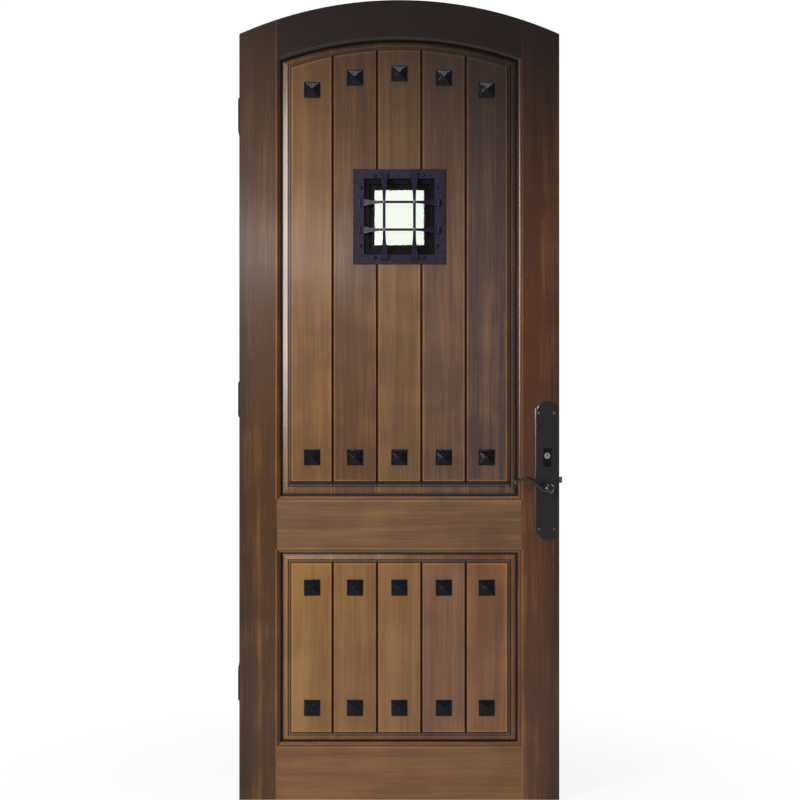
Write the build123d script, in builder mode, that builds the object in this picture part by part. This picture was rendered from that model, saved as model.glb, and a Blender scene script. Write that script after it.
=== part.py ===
from build123d import *
import os
from math import acos, cos, radians, sin, sqrt

os.makedirs("parts", exist_ok=True)

# Door leaf. X runs along the width, -Y faces outdoors, Z is up.
# The origin is the middle of the bottom edge, halfway through the thickness.
leaf_width = 914.4
leaf_height = 2286.0
leaf_thickness = 44.45
arch_rise = 97.0

# Stiles and rails, measured on the flat of each face
stile_width = 108.0
top_rail_width = 102.0
lock_rail_width = 141.0
bottom_rail_width = 153.0
lock_rail_height = 716.0

# Moulding stuck on the inner edges of stiles and rails
moulding_quirk = 2.0
ovolo_radius = 12.0
panel_groove_width = 12.7
panel_groove_depth = 12.0

# Dowels between rails and stiles
dowel_radius = 8.0
dowel_length = 110.0
dowel_fit = 0.2
dowel_edge_distance = 38.0

# Raised panels made of planks
panel_thickness = 36.0
raise_slope_width = 17.0
raise_step_width = 3.0
raise_step_height = 2.6
raise_shelf_width = 5.5
raise_shelf_rise = 0.6
raise_riser_width = 3.0
raise_riser_height = 3.2
upper_foot_share = 1.45
panel_tongue_fit = 0.2
panel_tongue_reach = 9.0
plank_width = 127.0
v_joint_width = 9.0
v_joint_depth = 4.0
plank_tongue_width = 8.0
plank_tongue_thickness = 8.0
plank_tongue_fit = 0.2

# Clavos, the square nails with pyramid heads
clavo_width = 45.5
clavo_rim = 3.0
clavo_point = 13.0
clavo_tip_width = 2.0
clavo_shank_radius = 2.5
clavo_shank_length = 16.0
clavo_hole_fit = 0.2
clavo_edge_distance = 69.0
clavo_crown_distance = 67.0
clavo_crown_radius = 690.0

# Lookout window
window_height = 1667.0
flange_width = 264.0
flange_tall = 272.0
flange_bar_across = 31.0
flange_bar_along = 27.0
flange_thickness = 5.0
glazing_wall = 2.0
glazing_lap = 2.0
glazing_cutout_fit = 0.3
glazing_step_depth = 6.0
glazing_step_width = 14.0
glazing_second_depth = 9.0
glazing_second_width = 14.0
sight_lip = 3.0
glass_thickness = 6.0
glass_edge_cover = 9.0
gasket_thickness = 1.5
gasket_edge = 1.5
gasket_lip = 7.0
glazing_fit = 0.15
trim_thickness = 4.0
trim_lap = 15.0

# Forged bars of the grille
bar_thickness = 6.0
upright_bar_width = 8.0
level_bar_width = 6.6
upright_bar_spacing = 86.0
level_bar_spacing = 78.6
bar_flare_width = 20.0
bar_neck_share = 0.3
bar_rise = 14.0
bar_foot_length = 12.0
bar_knee = 8.0
bar_bend_radius = 7.0
bar_end_bead = 4.0
grille_rivet_radius = 2.2
grille_rivet_head = 5.2
grille_rivet_crown = 3.0
grille_nail_radius = 1.8
grille_nail_head = 5.0
grille_nail_crown = 3.6
grille_nail_length = 20.0
grille_nail_inset = 8.0
grille_nail_across = 138.0
grille_nail_up = 166.0
iron_hole_fit = 0.2

# Lock plates
backset = 35.0
spindle_height = 892.0
cylinder_distance = 92.0
plate_centre_height = 940.0
plate_width = 69.0
plate_shoulder_height = 360.0
plate_lobe_width = 57.0
plate_lobe_rise = 20.0
plate_thickness = 4.0
plate_bevel = 1.2
plate_bevel_width = 2.6
plate_screw_across = 44.3
plate_screw_up = 331.5

# Lock cylinder
cylinder_radius = 8.5
cylinder_web_width = 10.0
cylinder_web_drop = 24.5
cylinder_hole_fit = 0.4
cylinder_proud = 1.0
cylinder_plug_radius = 6.5
plug_fit = 0.05
keyway_width = 2.2
keyway_height = 8.5
keyway_depth = 22.0
cam_gap = 10.4
cam_gap_drop = 14.0
cam_fit = 0.2
cam_radius = 8.0
cam_reach = 15.0
cam_lobe_width = 5.0
pad_width = 22.0
pad_height = 51.0
pad_drop = 5.2
pad_thickness = 2.5
pad_corner = 2.0
thumb_neck_length = 8.0
thumb_grip_length = 30.0
thumb_grip_width = 9.0
thumb_grip_depth = 15.0

# Levers and spindle
spindle_width = 8.0
spindle_fit = 0.1
lever_proud = 46.0
hub_radius = 15.5
hub_dome = 9.0
hub_collar = 6.0
hub_bead = 4.0
neck_radius = 10.0
neck_hole_fit = 0.3
lever_root_radius = 6.5
lever_tip_radius = 4.3
lever_ball_radius = 7.0
lever_low_radius = 28.8
lever_low_turn = 42.0
lever_straight = 29.0
lever_high_radius = 37.5
lever_high_turn = 88.0
lever_start_drop = 8.0
lever_stations = 12

# Mortise lock
case_depth = 56.0
case_thickness = 15.0
case_bottom_margin = 30.0
case_top_margin = 38.0
case_wall = 1.5
mortise_fit = 0.3
faceplate_width = 20.0
faceplate_thickness = 3.0
faceplate_height = 240.0
faceplate_screw_inset = 9.0
follower_radius = 9.0
follower_arm_reach = 18.0
follower_arm_width = 6.0
follower_arm_thickness = 8.0
follower_fit = 0.1
bolt_thickness = 11.0
bolt_hole_fit = 0.3
latch_proud = 11.5
latch_height = 18.0
latch_centre_rise = 22.0
latch_head_length = 26.0
latch_nose_land = 1.5
latch_tail_height = 6.0
latch_tail_rise = 19.0
latch_lug_width = 4.0
latch_lug_drop = 7.0
latch_lug_gap = 0.5
deadbolt_height = 22.0
deadbolt_rise = 9.5
deadbolt_length = 54.0
deadbolt_travel = 20.0
deadbolt_set_in = 0.3
deadbolt_notch_width = 9.8
deadbolt_notch_height = 7.0

# Butt hinges
hinge_height = 101.6
hinge_knuckles = 5
hinge_plate_thickness = 2.5
hinge_plate_gap = 2.0
hinge_plate_reach = 44.0
hinge_plate_corner = 16.0
hinge_axis_proud = 7.5
knuckle_radius = 6.3
knuckle_gap = 0.3
knuckle_clearance = 0.4
hinge_pin_radius = 3.7
hinge_pin_fit = 0.05
hinge_pin_head_radius = 5.4
hinge_pin_head_height = 3.5
hinge_mortise_fit = 0.2
hinge_from_top = 178.0
hinge_from_bottom = 279.0
hinge_outer_screw_reach = 36.0
hinge_inner_screw_reach = 20.0
hinge_outer_screw_spacing = 76.0
hinge_inner_screw_spacing = 38.0

# Countersunk screws
screw_head_radius = 4.0
screw_radius = 1.9
screw_length = 22.0
screw_tip_length = 4.0
screw_hole_radius = 2.5
jamb_screw_hole_radius = 2.8
screw_sink_radius = 4.2
screw_sink_angle = 90.0
pilot_fit = 0.15
brass_screw_crown = 1.2

# Places worked out from the sizes above
half_width = leaf_width / 2
face = leaf_thickness / 2
arch_radius = (half_width**2 + arch_rise**2) / (2 * arch_rise)
arch_centre = leaf_height - arch_radius
shoulder_height = leaf_height - arch_rise
moulding_width = ovolo_radius
arris_x = half_width - stile_width
sight_x = arris_x - moulding_width
arris_radius = arch_radius - top_rail_width
sight_radius = arris_radius - moulding_width
lower_arris_bottom = bottom_rail_width
lower_arris_top = lock_rail_height
upper_arris_bottom = lock_rail_height + lock_rail_width
field = panel_thickness / 2
raise_band = raise_slope_width + raise_step_width + raise_shelf_width + raise_riser_width
lock_x = half_width - backset
cylinder_height = spindle_height + cylinder_distance
plate_face = face + plate_thickness
pad_face = plate_face + pad_thickness


def save(piece, name):
    """Label a finished piece and write it."""
    piece.part.label = name
    export_step(piece.part, f"parts/{name}.step")


def outside_at(x, z, proud):
    """A plane parallel to the door that looks outdoors."""
    return Plane(origin=(x, -proud, z), x_dir=(1, 0, 0), z_dir=(0, -1, 0))


def inside_at(x, z, proud):
    """A plane parallel to the door that looks indoors."""
    return Plane(origin=(x, proud, z), x_dir=(-1, 0, 0), z_dir=(0, 1, 0))


def edge_at(x, y, z, side):
    """A plane across the door's thickness; side 1 looks to the lock edge and -1 to the hinge edge."""
    return Plane(origin=(x, y, z), x_dir=(0, side, 0), z_dir=(side, 0, 0))


def places(planes):
    return [plane.location for plane in planes]


def pairs(across, up):
    """The four corners of a pattern, as (x, z)."""
    return [(sx * across / 2, sz * up / 2) for sz in (-1, 1) for sx in (-1, 1)]


def dome(radius, crown, base=0.0):
    """A round cap in section, from its rim at the given base up to the axis."""
    ball = (radius**2 + crown**2) / (2 * crown)
    turn = acos(1 - crown / ball) / 2
    middle = (ball * sin(turn), base + crown - ball + ball * cos(turn))
    return ThreePointArc((radius, base), middle, (0, base + crown))


def countersunk_screw(length, crown=0.0):
    """A screw whose head lies on Z = 0 and whose point looks down."""
    sink = screw_head_radius - screw_radius
    with BuildPart(mode=Mode.PRIVATE) as screw:
        with BuildSketch(Plane.XZ):
            with BuildLine():
                Polyline(
                    (0, crown),
                    (0, -length),
                    (screw_radius, screw_tip_length - length),
                    (screw_radius, -sink),
                    (screw_head_radius, 0),
                )
                if crown:
                    dome(screw_head_radius, crown)
                else:
                    Line((screw_head_radius, 0), (0, 0))
            make_face()
        revolve(axis=Axis.Z)
    return screw.part


def round_nail(head_radius, crown, shank_radius, length):
    """A nail with a domed head that sits on Z = 0."""
    with BuildPart(mode=Mode.PRIVATE) as nail:
        with BuildSketch(Plane.XZ):
            with BuildLine():
                Polyline(
                    (0, crown),
                    (0, -length),
                    (shank_radius, shank_radius - length),
                    (shank_radius, 0),
                    (head_radius, 0),
                )
                dome(head_radius, crown)
            make_face()
        revolve(axis=Axis.Z)
    return nail.part


# Waste that the moulding cutter takes from an edge. Local X runs from the arris towards the panel.
def moulding_waste(face_plane):
    """Both ovolos, and the groove for the panel, on the given plane."""
    top = face - moulding_quirk
    low = top - ovolo_radius
    bend = ovolo_radius * cos(radians(45))
    past = 1.0
    with BuildSketch(face_plane, mode=Mode.PRIVATE) as waste:
        for side in (1, -1):
            with BuildLine():
                Polyline((0, side * (face + past)), (0, side * top))
                ThreePointArc((0, side * top), (bend, side * (low + bend)), (moulding_width, side * low))
                Polyline(
                    (moulding_width, side * low),
                    (moulding_width + past, side * low),
                    (moulding_width + past, side * (face + past)),
                    (0, side * (face + past)),
                )
            make_face()
        with Locations((moulding_width - panel_groove_depth / 2 + past / 2, 0)):
            Rectangle(panel_groove_depth + past, panel_groove_width)
    return waste.sketch


def stile_waste(side):
    """Waste of a stile's inner edge; side 1 is the lock stile and -1 the hinge stile."""
    return moulding_waste(Plane(origin=(side * arris_x, 0, 0), x_dir=(-side, 0, 0), z_dir=(0, 0, 1)))


def rail_waste(height, up):
    """Waste of a rail's edge; up 1 is an upper edge and -1 a lower one."""
    return moulding_waste(Plane(origin=(0, 0, height), x_dir=(0, 0, up), z_dir=(1, 0, 0)))


def leaf_outline():
    """The whole leaf seen from outside, with its arched head."""
    with BuildSketch(Plane.XZ, mode=Mode.PRIVATE) as outline:
        with BuildLine():
            Polyline(
                (-half_width, shoulder_height),
                (-half_width, 0),
                (half_width, 0),
                (half_width, shoulder_height),
            )
            ThreePointArc((half_width, shoulder_height), (0, leaf_height), (-half_width, shoulder_height))
        make_face()
    return outline.sketch


def hinge_heights():
    low = hinge_from_bottom + hinge_height / 2
    high = shoulder_height - hinge_from_top - hinge_height / 2
    return {"bottom": low, "middle": (low + high) / 2, "top": high}


def rail_end_height(radius):
    """Height of a curve of the arch where the rail meets the stile."""
    return arch_centre + sqrt(radius**2 - arris_x**2)


def dowel_heights():
    top_low = rail_end_height(arris_radius)
    top_high = rail_end_height(arch_radius)
    return [
        dowel_edge_distance,
        lower_arris_bottom - dowel_edge_distance,
        lower_arris_top + dowel_edge_distance,
        upper_arris_bottom - dowel_edge_distance,
        top_low + dowel_edge_distance,
        top_high - dowel_edge_distance,
    ]


def dowel_places(heights):
    return [(side * arris_x, 0, z) for z in heights for side in (-1, 1)]


def bore_for_dowels(heights):
    with Locations(*dowel_places(heights)):
        Cylinder(dowel_radius + dowel_fit, dowel_length, rotation=(0, 90, 0), mode=Mode.SUBTRACT)


def hinge_screw_points():
    """Screws of one hinge leaf, as (reach from the pin's axis, height from the middle)."""
    outer = [(hinge_outer_screw_reach, s * hinge_outer_screw_spacing / 2) for s in (-1, 1)]
    inner = [(hinge_inner_screw_reach, s * hinge_inner_screw_spacing / 2) for s in (-1, 1)]
    return outer + inner


hinge_axis_y = face + hinge_axis_proud
hinge_axis_x = -half_width - hinge_plate_gap / 2
door_plate_x = -half_width
jamb_plate_x = -half_width - hinge_plate_gap


def door_screw_planes():
    """Hinge screws in the leaf's edge. They enter from the plate's face towards +X."""
    return [
        edge_at(door_plate_x, hinge_axis_y - reach, z + up, -1)
        for z in hinge_heights().values()
        for reach, up in hinge_screw_points()
    ]


def hinge_plate_sketch(plane_x, fit):
    """Outline of a hinge plate against the door's edge, rounded at its outer corners."""
    inner = hinge_axis_y - knuckle_radius - knuckle_clearance
    outer = hinge_axis_y - hinge_plate_reach
    plane = Plane(origin=(plane_x, 0, 0), x_dir=(0, 1, 0), z_dir=(1, 0, 0))
    with BuildSketch(plane, mode=Mode.PRIVATE) as outline:
        for z in hinge_heights().values():
            with Locations(((inner + outer) / 2, z)):
                Rectangle(inner - outer + 2 * fit, hinge_height + 2 * fit)
        fillet(outline.vertices().group_by(Axis.X)[0], hinge_plate_corner)
    return outline.sketch


# Hinge stile
with BuildPart() as hinge_stile:
    with BuildSketch(Plane.XY):
        with Locations((-half_width, 0)):
            Rectangle(stile_width + moulding_width, leaf_thickness, align=(Align.MIN, Align.CENTER))
        add(stile_waste(-1), mode=Mode.SUBTRACT)
    extrude(amount=leaf_height)
    extrude(leaf_outline(), amount=leaf_thickness, both=True, mode=Mode.INTERSECT)
    bore_for_dowels(dowel_heights())
    extrude(
        hinge_plate_sketch(door_plate_x, hinge_mortise_fit),
        amount=hinge_plate_thickness,
        mode=Mode.SUBTRACT,
    )
    with Locations(*places(door_screw_planes())):
        Hole(screw_radius + pilot_fit, screw_length + 1)
save(hinge_stile, "hinge_stile")

# Outside and inside lock hardware share one set of places in the lock stile
plate_screw_points = [
    (lock_x + x, plate_centre_height + z) for x, z in pairs(plate_screw_across, plate_screw_up)
]
case_bottom = spindle_height - case_bottom_margin
case_top = cylinder_height + case_top_margin
case_height = case_top - case_bottom
case_middle = (case_top + case_bottom) / 2
case_front = half_width - faceplate_thickness
faceplate_screw_heights = [
    case_middle + s * (faceplate_height / 2 - faceplate_screw_inset) for s in (-1, 1)
]


def faceplate_screw_planes():
    return [edge_at(half_width, 0, z, 1) for z in faceplate_screw_heights]


def plate_screw_planes():
    outer = [outside_at(x, z, plate_face) for x, z in plate_screw_points]
    inner = [inside_at(x, z, plate_face) for x, z in plate_screw_points]
    return outer, inner


def cylinder_profile(plane, fit):
    """The pear-shaped section of the lock cylinder."""
    with BuildSketch(plane, mode=Mode.PRIVATE) as profile:
        Circle(cylinder_radius + fit)
        web = cylinder_web_width / 2 + fit
        with Locations((0, -(cylinder_web_drop - cylinder_web_width / 2) / 2)):
            Rectangle(2 * web, cylinder_web_drop - cylinder_web_width / 2)
        with Locations((0, cylinder_web_width / 2 - cylinder_web_drop)):
            Circle(web)
    return profile.sketch


def faceplate_outline(plane, fit):
    with BuildSketch(plane, mode=Mode.PRIVATE) as outline:
        with Locations((0, case_middle)):
            SlotOverall(faceplate_height + 2 * fit, faceplate_width + 2 * fit, rotation=90)
    return outline.sketch


# Lock stile, with the mortise for the lock
with BuildPart() as lock_stile:
    with BuildSketch(Plane.XY):
        with Locations((half_width, 0)):
            Rectangle(stile_width + moulding_width, leaf_thickness, align=(Align.MAX, Align.CENTER))
        add(stile_waste(1), mode=Mode.SUBTRACT)
    extrude(amount=leaf_height)
    extrude(leaf_outline(), amount=leaf_thickness, both=True, mode=Mode.INTERSECT)
    bore_for_dowels(dowel_heights())
    faceplate_recess = faceplate_outline(edge_at(half_width, 0, 0, 1), mortise_fit)
    extrude(faceplate_recess, amount=-faceplate_thickness, mode=Mode.SUBTRACT)
    with Locations((case_front + mortise_fit, 0, case_middle)):
        Box(
            case_depth + 2 * mortise_fit,
            case_thickness + 2 * mortise_fit,
            case_height + 2 * mortise_fit,
            align=(Align.MAX, Align.CENTER, Align.CENTER),
            mode=Mode.SUBTRACT,
        )
    with Locations((lock_x, 0, spindle_height)):
        Cylinder(
            neck_radius + 2 * neck_hole_fit, leaf_thickness, rotation=(90, 0, 0), mode=Mode.SUBTRACT
        )
    cylinder_hole = cylinder_profile(outside_at(lock_x, cylinder_height, 0), cylinder_hole_fit)
    extrude(cylinder_hole, amount=face, both=True, mode=Mode.SUBTRACT)
    for plate_side in plate_screw_planes():
        with Locations(*places(plate_side)):
            Hole(screw_radius + pilot_fit, screw_length + 1)
    with Locations(*places(faceplate_screw_planes())):
        Hole(screw_radius + pilot_fit, screw_length + 1)
save(lock_stile, "lock_stile")

# Arched top rail, its ends scribed over the stiles' moulding
with BuildPart() as arched_top_rail:
    with BuildSketch(Plane.XZ):
        with Locations((0, arch_centre)):
            Circle(arch_radius)
            Circle(sight_radius, mode=Mode.SUBTRACT)
        with Locations((0, leaf_height)):
            Rectangle(
                2 * arris_x,
                leaf_height - rail_end_height(sight_radius) + moulding_width,
                align=(Align.CENTER, Align.MAX),
                mode=Mode.INTERSECT,
            )
    extrude(amount=face, both=True)
    arch_axis = Axis((0, 0, arch_centre), (0, 1, 0))
    revolve(rail_waste(arch_centre + arris_radius, -1), axis=arch_axis, mode=Mode.SUBTRACT)
    add(hinge_stile.part, mode=Mode.SUBTRACT)
    add(lock_stile.part, mode=Mode.SUBTRACT)
    bore_for_dowels(dowel_heights()[4:])
save(arched_top_rail, "arched_top_rail")

# Lock rail, with a moulding on both edges
with BuildPart() as lock_rail:
    with Locations((0, 0, lower_arris_top - moulding_width)):
        Box(
            2 * arris_x,
            leaf_thickness,
            lock_rail_width + 2 * moulding_width,
            align=(Align.CENTER, Align.CENTER, Align.MIN),
        )
    extrude(rail_waste(lower_arris_top, -1), amount=arris_x, both=True, mode=Mode.SUBTRACT)
    extrude(rail_waste(upper_arris_bottom, 1), amount=arris_x, both=True, mode=Mode.SUBTRACT)
    add(hinge_stile.part, mode=Mode.SUBTRACT)
    add(lock_stile.part, mode=Mode.SUBTRACT)
    bore_for_dowels(dowel_heights()[2:4])
save(lock_rail, "lock_rail")

# Bottom rail
with BuildPart() as bottom_rail:
    Box(
        2 * arris_x,
        leaf_thickness,
        bottom_rail_width + moulding_width,
        align=(Align.CENTER, Align.CENTER, Align.MIN),
    )
    extrude(rail_waste(lower_arris_bottom, 1), amount=arris_x, both=True, mode=Mode.SUBTRACT)
    add(hinge_stile.part, mode=Mode.SUBTRACT)
    add(lock_stile.part, mode=Mode.SUBTRACT)
    bore_for_dowels(dowel_heights()[:2])
save(bottom_rail, "bottom_rail")

# Dowels that pin the rails to the stiles
with BuildPart() as frame_dowels:
    with Locations(*dowel_places(dowel_heights())):
        Cylinder(dowel_radius, dowel_length, rotation=(0, 90, 0))
save(frame_dowels, "frame_dowels")


# Panels. Each is a blank with a raised field on both faces, cut into planks.
def panel_outline(panel, inset, plane):
    """The sight opening of a panel, moved in by inset, or out where inset is negative."""
    half = sight_x - inset
    with BuildSketch(plane, mode=Mode.PRIVATE) as outline:
        if panel == "upper":
            low = upper_arris_bottom + moulding_width + inset * (upper_foot_share if inset > 0 else 1)
            radius = sight_radius - inset
            shoulder = arch_centre + sqrt(radius**2 - half**2)
            with BuildLine():
                Polyline((-half, shoulder), (-half, low), (half, low), (half, shoulder))
                ThreePointArc((half, shoulder), (0, arch_centre + radius), (-half, shoulder))
            make_face()
        else:
            low = lower_arris_bottom + moulding_width + inset
            high = lower_arris_top - moulding_width - inset
            with Locations((0, (low + high) / 2)):
                Rectangle(2 * half, high - low)
    return outline.sketch


def panel_blank(panel):
    tongue = panel_groove_width / 2 - panel_tongue_fit
    shelf = field - raise_riser_height
    shelf_foot = shelf - raise_shelf_rise
    steps = [
        (0, tongue),
        (raise_slope_width, shelf_foot - raise_step_height),
        (raise_slope_width + raise_step_width, shelf_foot),
        (raise_band - raise_riser_width, shelf),
        (raise_band, field),
    ]
    with BuildPart(mode=Mode.PRIVATE) as blank:
        extrude(panel_outline(panel, -panel_tongue_reach, Plane.XZ), amount=tongue, both=True)
        for side in (1, -1):
            levels = [panel_outline(panel, inset, Plane.XZ.offset(side * up)) for inset, up in steps]
            for lower, upper in zip(levels, levels[1:]):
                loft([lower, upper], ruled=True)
    return blank.part


def plank_prism(left, right):
    """A plank's section, drawn on the floor and extruded to the full height.

    Edges that meet another plank carry half of a V-joint on both faces, a tongue on the right
    and a groove on the left. Outer edges run on to the end of the panel.
    """
    edge = sight_x + panel_tongue_reach
    half_v = v_joint_width / 2
    tongue_half = plank_tongue_thickness / 2
    joined_left = left > -edge
    joined_right = right < edge
    with BuildPart(mode=Mode.PRIVATE) as prism:
        with BuildSketch(Plane.XY) as section:
            with Locations(((left + right) / 2, 0)):
                Rectangle(right - left, panel_thickness)
            corners = section.vertices().group_by(Axis.X)
            joints = []
            if joined_left:
                joints += corners[0]
            if joined_right:
                joints += corners[-1]
            for corner in joints:
                toward = 1 if corner.X < (left + right) / 2 else -1
                up = 1 if corner.Y > 0 else -1
                with BuildLine():
                    Polyline(
                        (corner.X, corner.Y),
                        (corner.X + toward * half_v, corner.Y),
                        (corner.X, corner.Y - up * v_joint_depth),
                        close=True,
                    )
                make_face(mode=Mode.SUBTRACT)
            if joined_right:
                with Locations((right, 0)):
                    Rectangle(
                        plank_tongue_width, 2 * tongue_half, align=(Align.MIN, Align.CENTER)
                    )
            if joined_left:
                with Locations((left, 0)):
                    Rectangle(
                        plank_tongue_width + plank_tongue_fit,
                        2 * (tongue_half + plank_tongue_fit),
                        align=(Align.MIN, Align.CENTER),
                        mode=Mode.SUBTRACT,
                    )
        extrude(amount=leaf_height)
    return prism.part


plank_edges = [
    -sight_x - panel_tongue_reach,
    -1.5 * plank_width,
    -0.5 * plank_width,
    0.5 * plank_width,
    1.5 * plank_width,
    sight_x + panel_tongue_reach,
]
outer_plank_centre = (1.5 * plank_width + sight_x - raise_band) / 2
plank_centres = [-outer_plank_centre, -plank_width, 0, plank_width, outer_plank_centre]

# Heights of the clavos. The top row follows the arch.
upper_field_bottom = upper_arris_bottom + moulding_width + raise_band * upper_foot_share
upper_field_crown = arch_centre + sight_radius - raise_band
lower_field_bottom = lower_arris_bottom + moulding_width + raise_band
lower_field_top = lower_arris_top - moulding_width - raise_band


def crown_row_height(x):
    drop = clavo_crown_radius - sqrt(clavo_crown_radius**2 - x**2)
    return upper_field_crown - clavo_crown_distance - drop


def clavo_points(panel, x):
    """The two nails of one plank, as (x, z)."""
    if panel == "upper":
        return [(x, upper_field_bottom + clavo_edge_distance), (x, crown_row_height(x))]
    return [(x, lower_field_bottom + clavo_edge_distance), (x, lower_field_top - clavo_edge_distance)]


# Opening for the lookout window, and the nails and screws that go into the planks round it
flange_opening_width = flange_width - 2 * flange_bar_across
flange_opening_tall = flange_tall - 2 * flange_bar_along
glazing_width = flange_opening_width + 2 * glazing_lap
glazing_tall = flange_opening_tall + 2 * glazing_lap
trim_width = glazing_width + 2 * trim_lap
trim_tall = glazing_tall + 2 * trim_lap


def grille_nail_points():
    side_x = flange_opening_width / 2 + grille_nail_inset
    end_z = flange_opening_tall / 2 + grille_nail_inset
    sides = [(sx * side_x, sz * grille_nail_up / 2) for sx in (-1, 1) for sz in (-1, 1)]
    ends = [(sx * grille_nail_across / 2, sz * end_z) for sx in (-1, 1) for sz in (-1, 1)]
    return sides + ends


def trim_screw_points():
    side_x = (glazing_width + trim_lap) / 2
    end_z = (glazing_tall + trim_lap) / 2
    sides = [(sx * side_x, sz * glazing_tall / 4) for sx in (-1, 1) for sz in (-1, 1)]
    ends = [(sx * glazing_width / 4, sz * end_z) for sx in (-1, 1) for sz in (-1, 1)]
    return sides + ends


def grille_nail_planes():
    return [
        outside_at(x, window_height + z, field + flange_thickness) for x, z in grille_nail_points()
    ]


def trim_screw_planes():
    return [inside_at(x, window_height + z, field + trim_thickness) for x, z in trim_screw_points()]


def make_plank(panel, blank, number):
    """One plank of a panel; the upper ones are cut round the window."""
    left, right = plank_edges[number - 1], plank_edges[number]
    with BuildPart() as plank:
        add(plank_prism(left, right))
        add(blank, mode=Mode.INTERSECT)
        for x, z in clavo_points(panel, plank_centres[number - 1]):
            with Locations(outside_at(x, z, field).location):
                Hole(clavo_shank_radius + clavo_hole_fit, clavo_shank_length + 1)
        if panel == "upper" and number in (2, 3, 4):
            with Locations((0, 0, window_height)):
                Box(
                    glazing_width + 2 * glazing_cutout_fit,
                    leaf_thickness,
                    glazing_tall + 2 * glazing_cutout_fit,
                    mode=Mode.SUBTRACT,
                )
            with Locations(*places(grille_nail_planes())):
                Hole(grille_nail_radius + iron_hole_fit, grille_nail_length + 1)
            with Locations(*places(trim_screw_planes())):
                Hole(screw_radius + pilot_fit, screw_length + 1)
    return plank


upper_blank = panel_blank("upper")
lower_blank = panel_blank("lower")

for number in (1, 2, 4, 5):
    upper_plank = make_plank("upper", upper_blank, number)
    save(upper_plank, f"upper_plank_{number}")

middle_plank = make_plank("upper", upper_blank, 3)
for where, end in (("below", 0), ("above", -1)):
    with BuildPart() as middle_piece:
        add(middle_plank.part.solids().sort_by(Axis.Z)[end])
    save(middle_piece, f"upper_plank_3_{where}")

for number in range(1, 6):
    lower_plank = make_plank("lower", lower_blank, number)
    save(lower_plank, f"lower_plank_{number}")


# Clavos
def clavo_head():
    """One nail, its head seated on Z = 0 and its shank below."""
    with BuildPart(mode=Mode.PRIVATE) as clavo:
        with BuildSketch(Plane.XY):
            Rectangle(clavo_width, clavo_width)
        extrude(amount=clavo_rim)
        with BuildSketch(Plane.XY.offset(clavo_rim)):
            Rectangle(clavo_width, clavo_width)
        with BuildSketch(Plane.XY.offset(clavo_rim + clavo_point)):
            Rectangle(clavo_tip_width, clavo_tip_width)
        loft(ruled=True)
        Cylinder(
            clavo_shank_radius, clavo_shank_length, align=(Align.CENTER, Align.CENTER, Align.MAX)
        )
    return clavo.part


for panel in ("upper", "lower"):
    with BuildPart() as clavos:
        for x in plank_centres:
            for nail_x, nail_z in clavo_points(panel, x):
                with Locations(outside_at(nail_x, nail_z, field).location):
                    add(clavo_head())
    save(clavos, f"{panel}_clavos")

# Flange of the grille, a flat iron frame nailed over the window
flange_face = field + flange_thickness
with BuildPart() as grille_flange:
    with BuildSketch(outside_at(0, window_height, field)):
        Rectangle(flange_width, flange_tall)
        Rectangle(flange_opening_width, flange_opening_tall, mode=Mode.SUBTRACT)
    extrude(amount=flange_thickness)
    outer_rim = grille_flange.faces().sort_by(Axis.Y)[0].outer_wire().edges()
    chamfer(outer_rim, plate_bevel)
    with Locations(*places(grille_nail_planes())):
        Hole(grille_nail_radius + iron_hole_fit, flange_thickness + 1)
save(grille_flange, "grille_flange")

with BuildPart() as grille_nails:
    with Locations(*places(grille_nail_planes())):
        add(round_nail(grille_nail_head, grille_nail_crown, grille_nail_radius, grille_nail_length))
save(grille_nails, "grille_nails")

# Forged bars. Each rises from a flared foot on the flange, runs level over the glass and comes
# down again. The uprights lie over the level bars.
bar_crossings = [
    (sx * upright_bar_spacing / 2, window_height + sz * level_bar_spacing / 2)
    for sx in (-1, 1)
    for sz in (-1, 1)
]
upright_foot_end = flange_opening_tall / 2 + bar_foot_length
level_foot_end = flange_opening_width / 2 + bar_foot_length


def forged_bar(side_plane, plan_plane, foot_end, knee, rise, width):
    """A bar bent in the side plane and flared in the plan plane."""
    foot_start = foot_end - bar_foot_length
    half = bar_thickness / 2
    with BuildPart() as bar:
        with BuildSketch(side_plane):
            with BuildLine():
                FilletPolyline(
                    (-foot_end, half),
                    (-foot_start, half),
                    (-knee, rise + half),
                    (knee, rise + half),
                    (foot_start, half),
                    (foot_end, half),
                    radius=bar_bend_radius,
                )
            trace(line_width=bar_thickness)
            for end in (-foot_end, foot_end):
                with Locations((end, bar_end_bead)):
                    Circle(bar_end_bead)
        extrude(amount=bar_flare_width / 2, both=True)
        with BuildSketch(plan_plane):
            middle = (foot_start + knee) / 2
            waist = width / 2
            flare = bar_flare_width / 2
            neck = waist + (flare - waist) * bar_neck_share
            past = foot_end + bar_end_bead
            with BuildLine():
                for way in (1, -1):
                    Polyline((-knee, way * waist), (knee, way * waist))
                    for end in (1, -1):
                        ThreePointArc(
                            (end * knee, way * waist),
                            (end * middle, way * neck),
                            (end * foot_start, way * flare),
                        )
                        Line((end * foot_start, way * flare), (end * past, way * flare))
                for end in (1, -1):
                    Line((end * past, flare), (end * past, -flare))
            make_face()
        reach = rise + 2 * bar_thickness + bar_end_bead
        extrude(amount=reach, both=True, mode=Mode.INTERSECT)
        for x, z in bar_crossings:
            with Locations(outside_at(x, z, flange_face + bar_rise + 2 * bar_thickness).location):
                Hole(grille_rivet_radius + iron_hole_fit, 3 * bar_thickness)
    return bar


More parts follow.
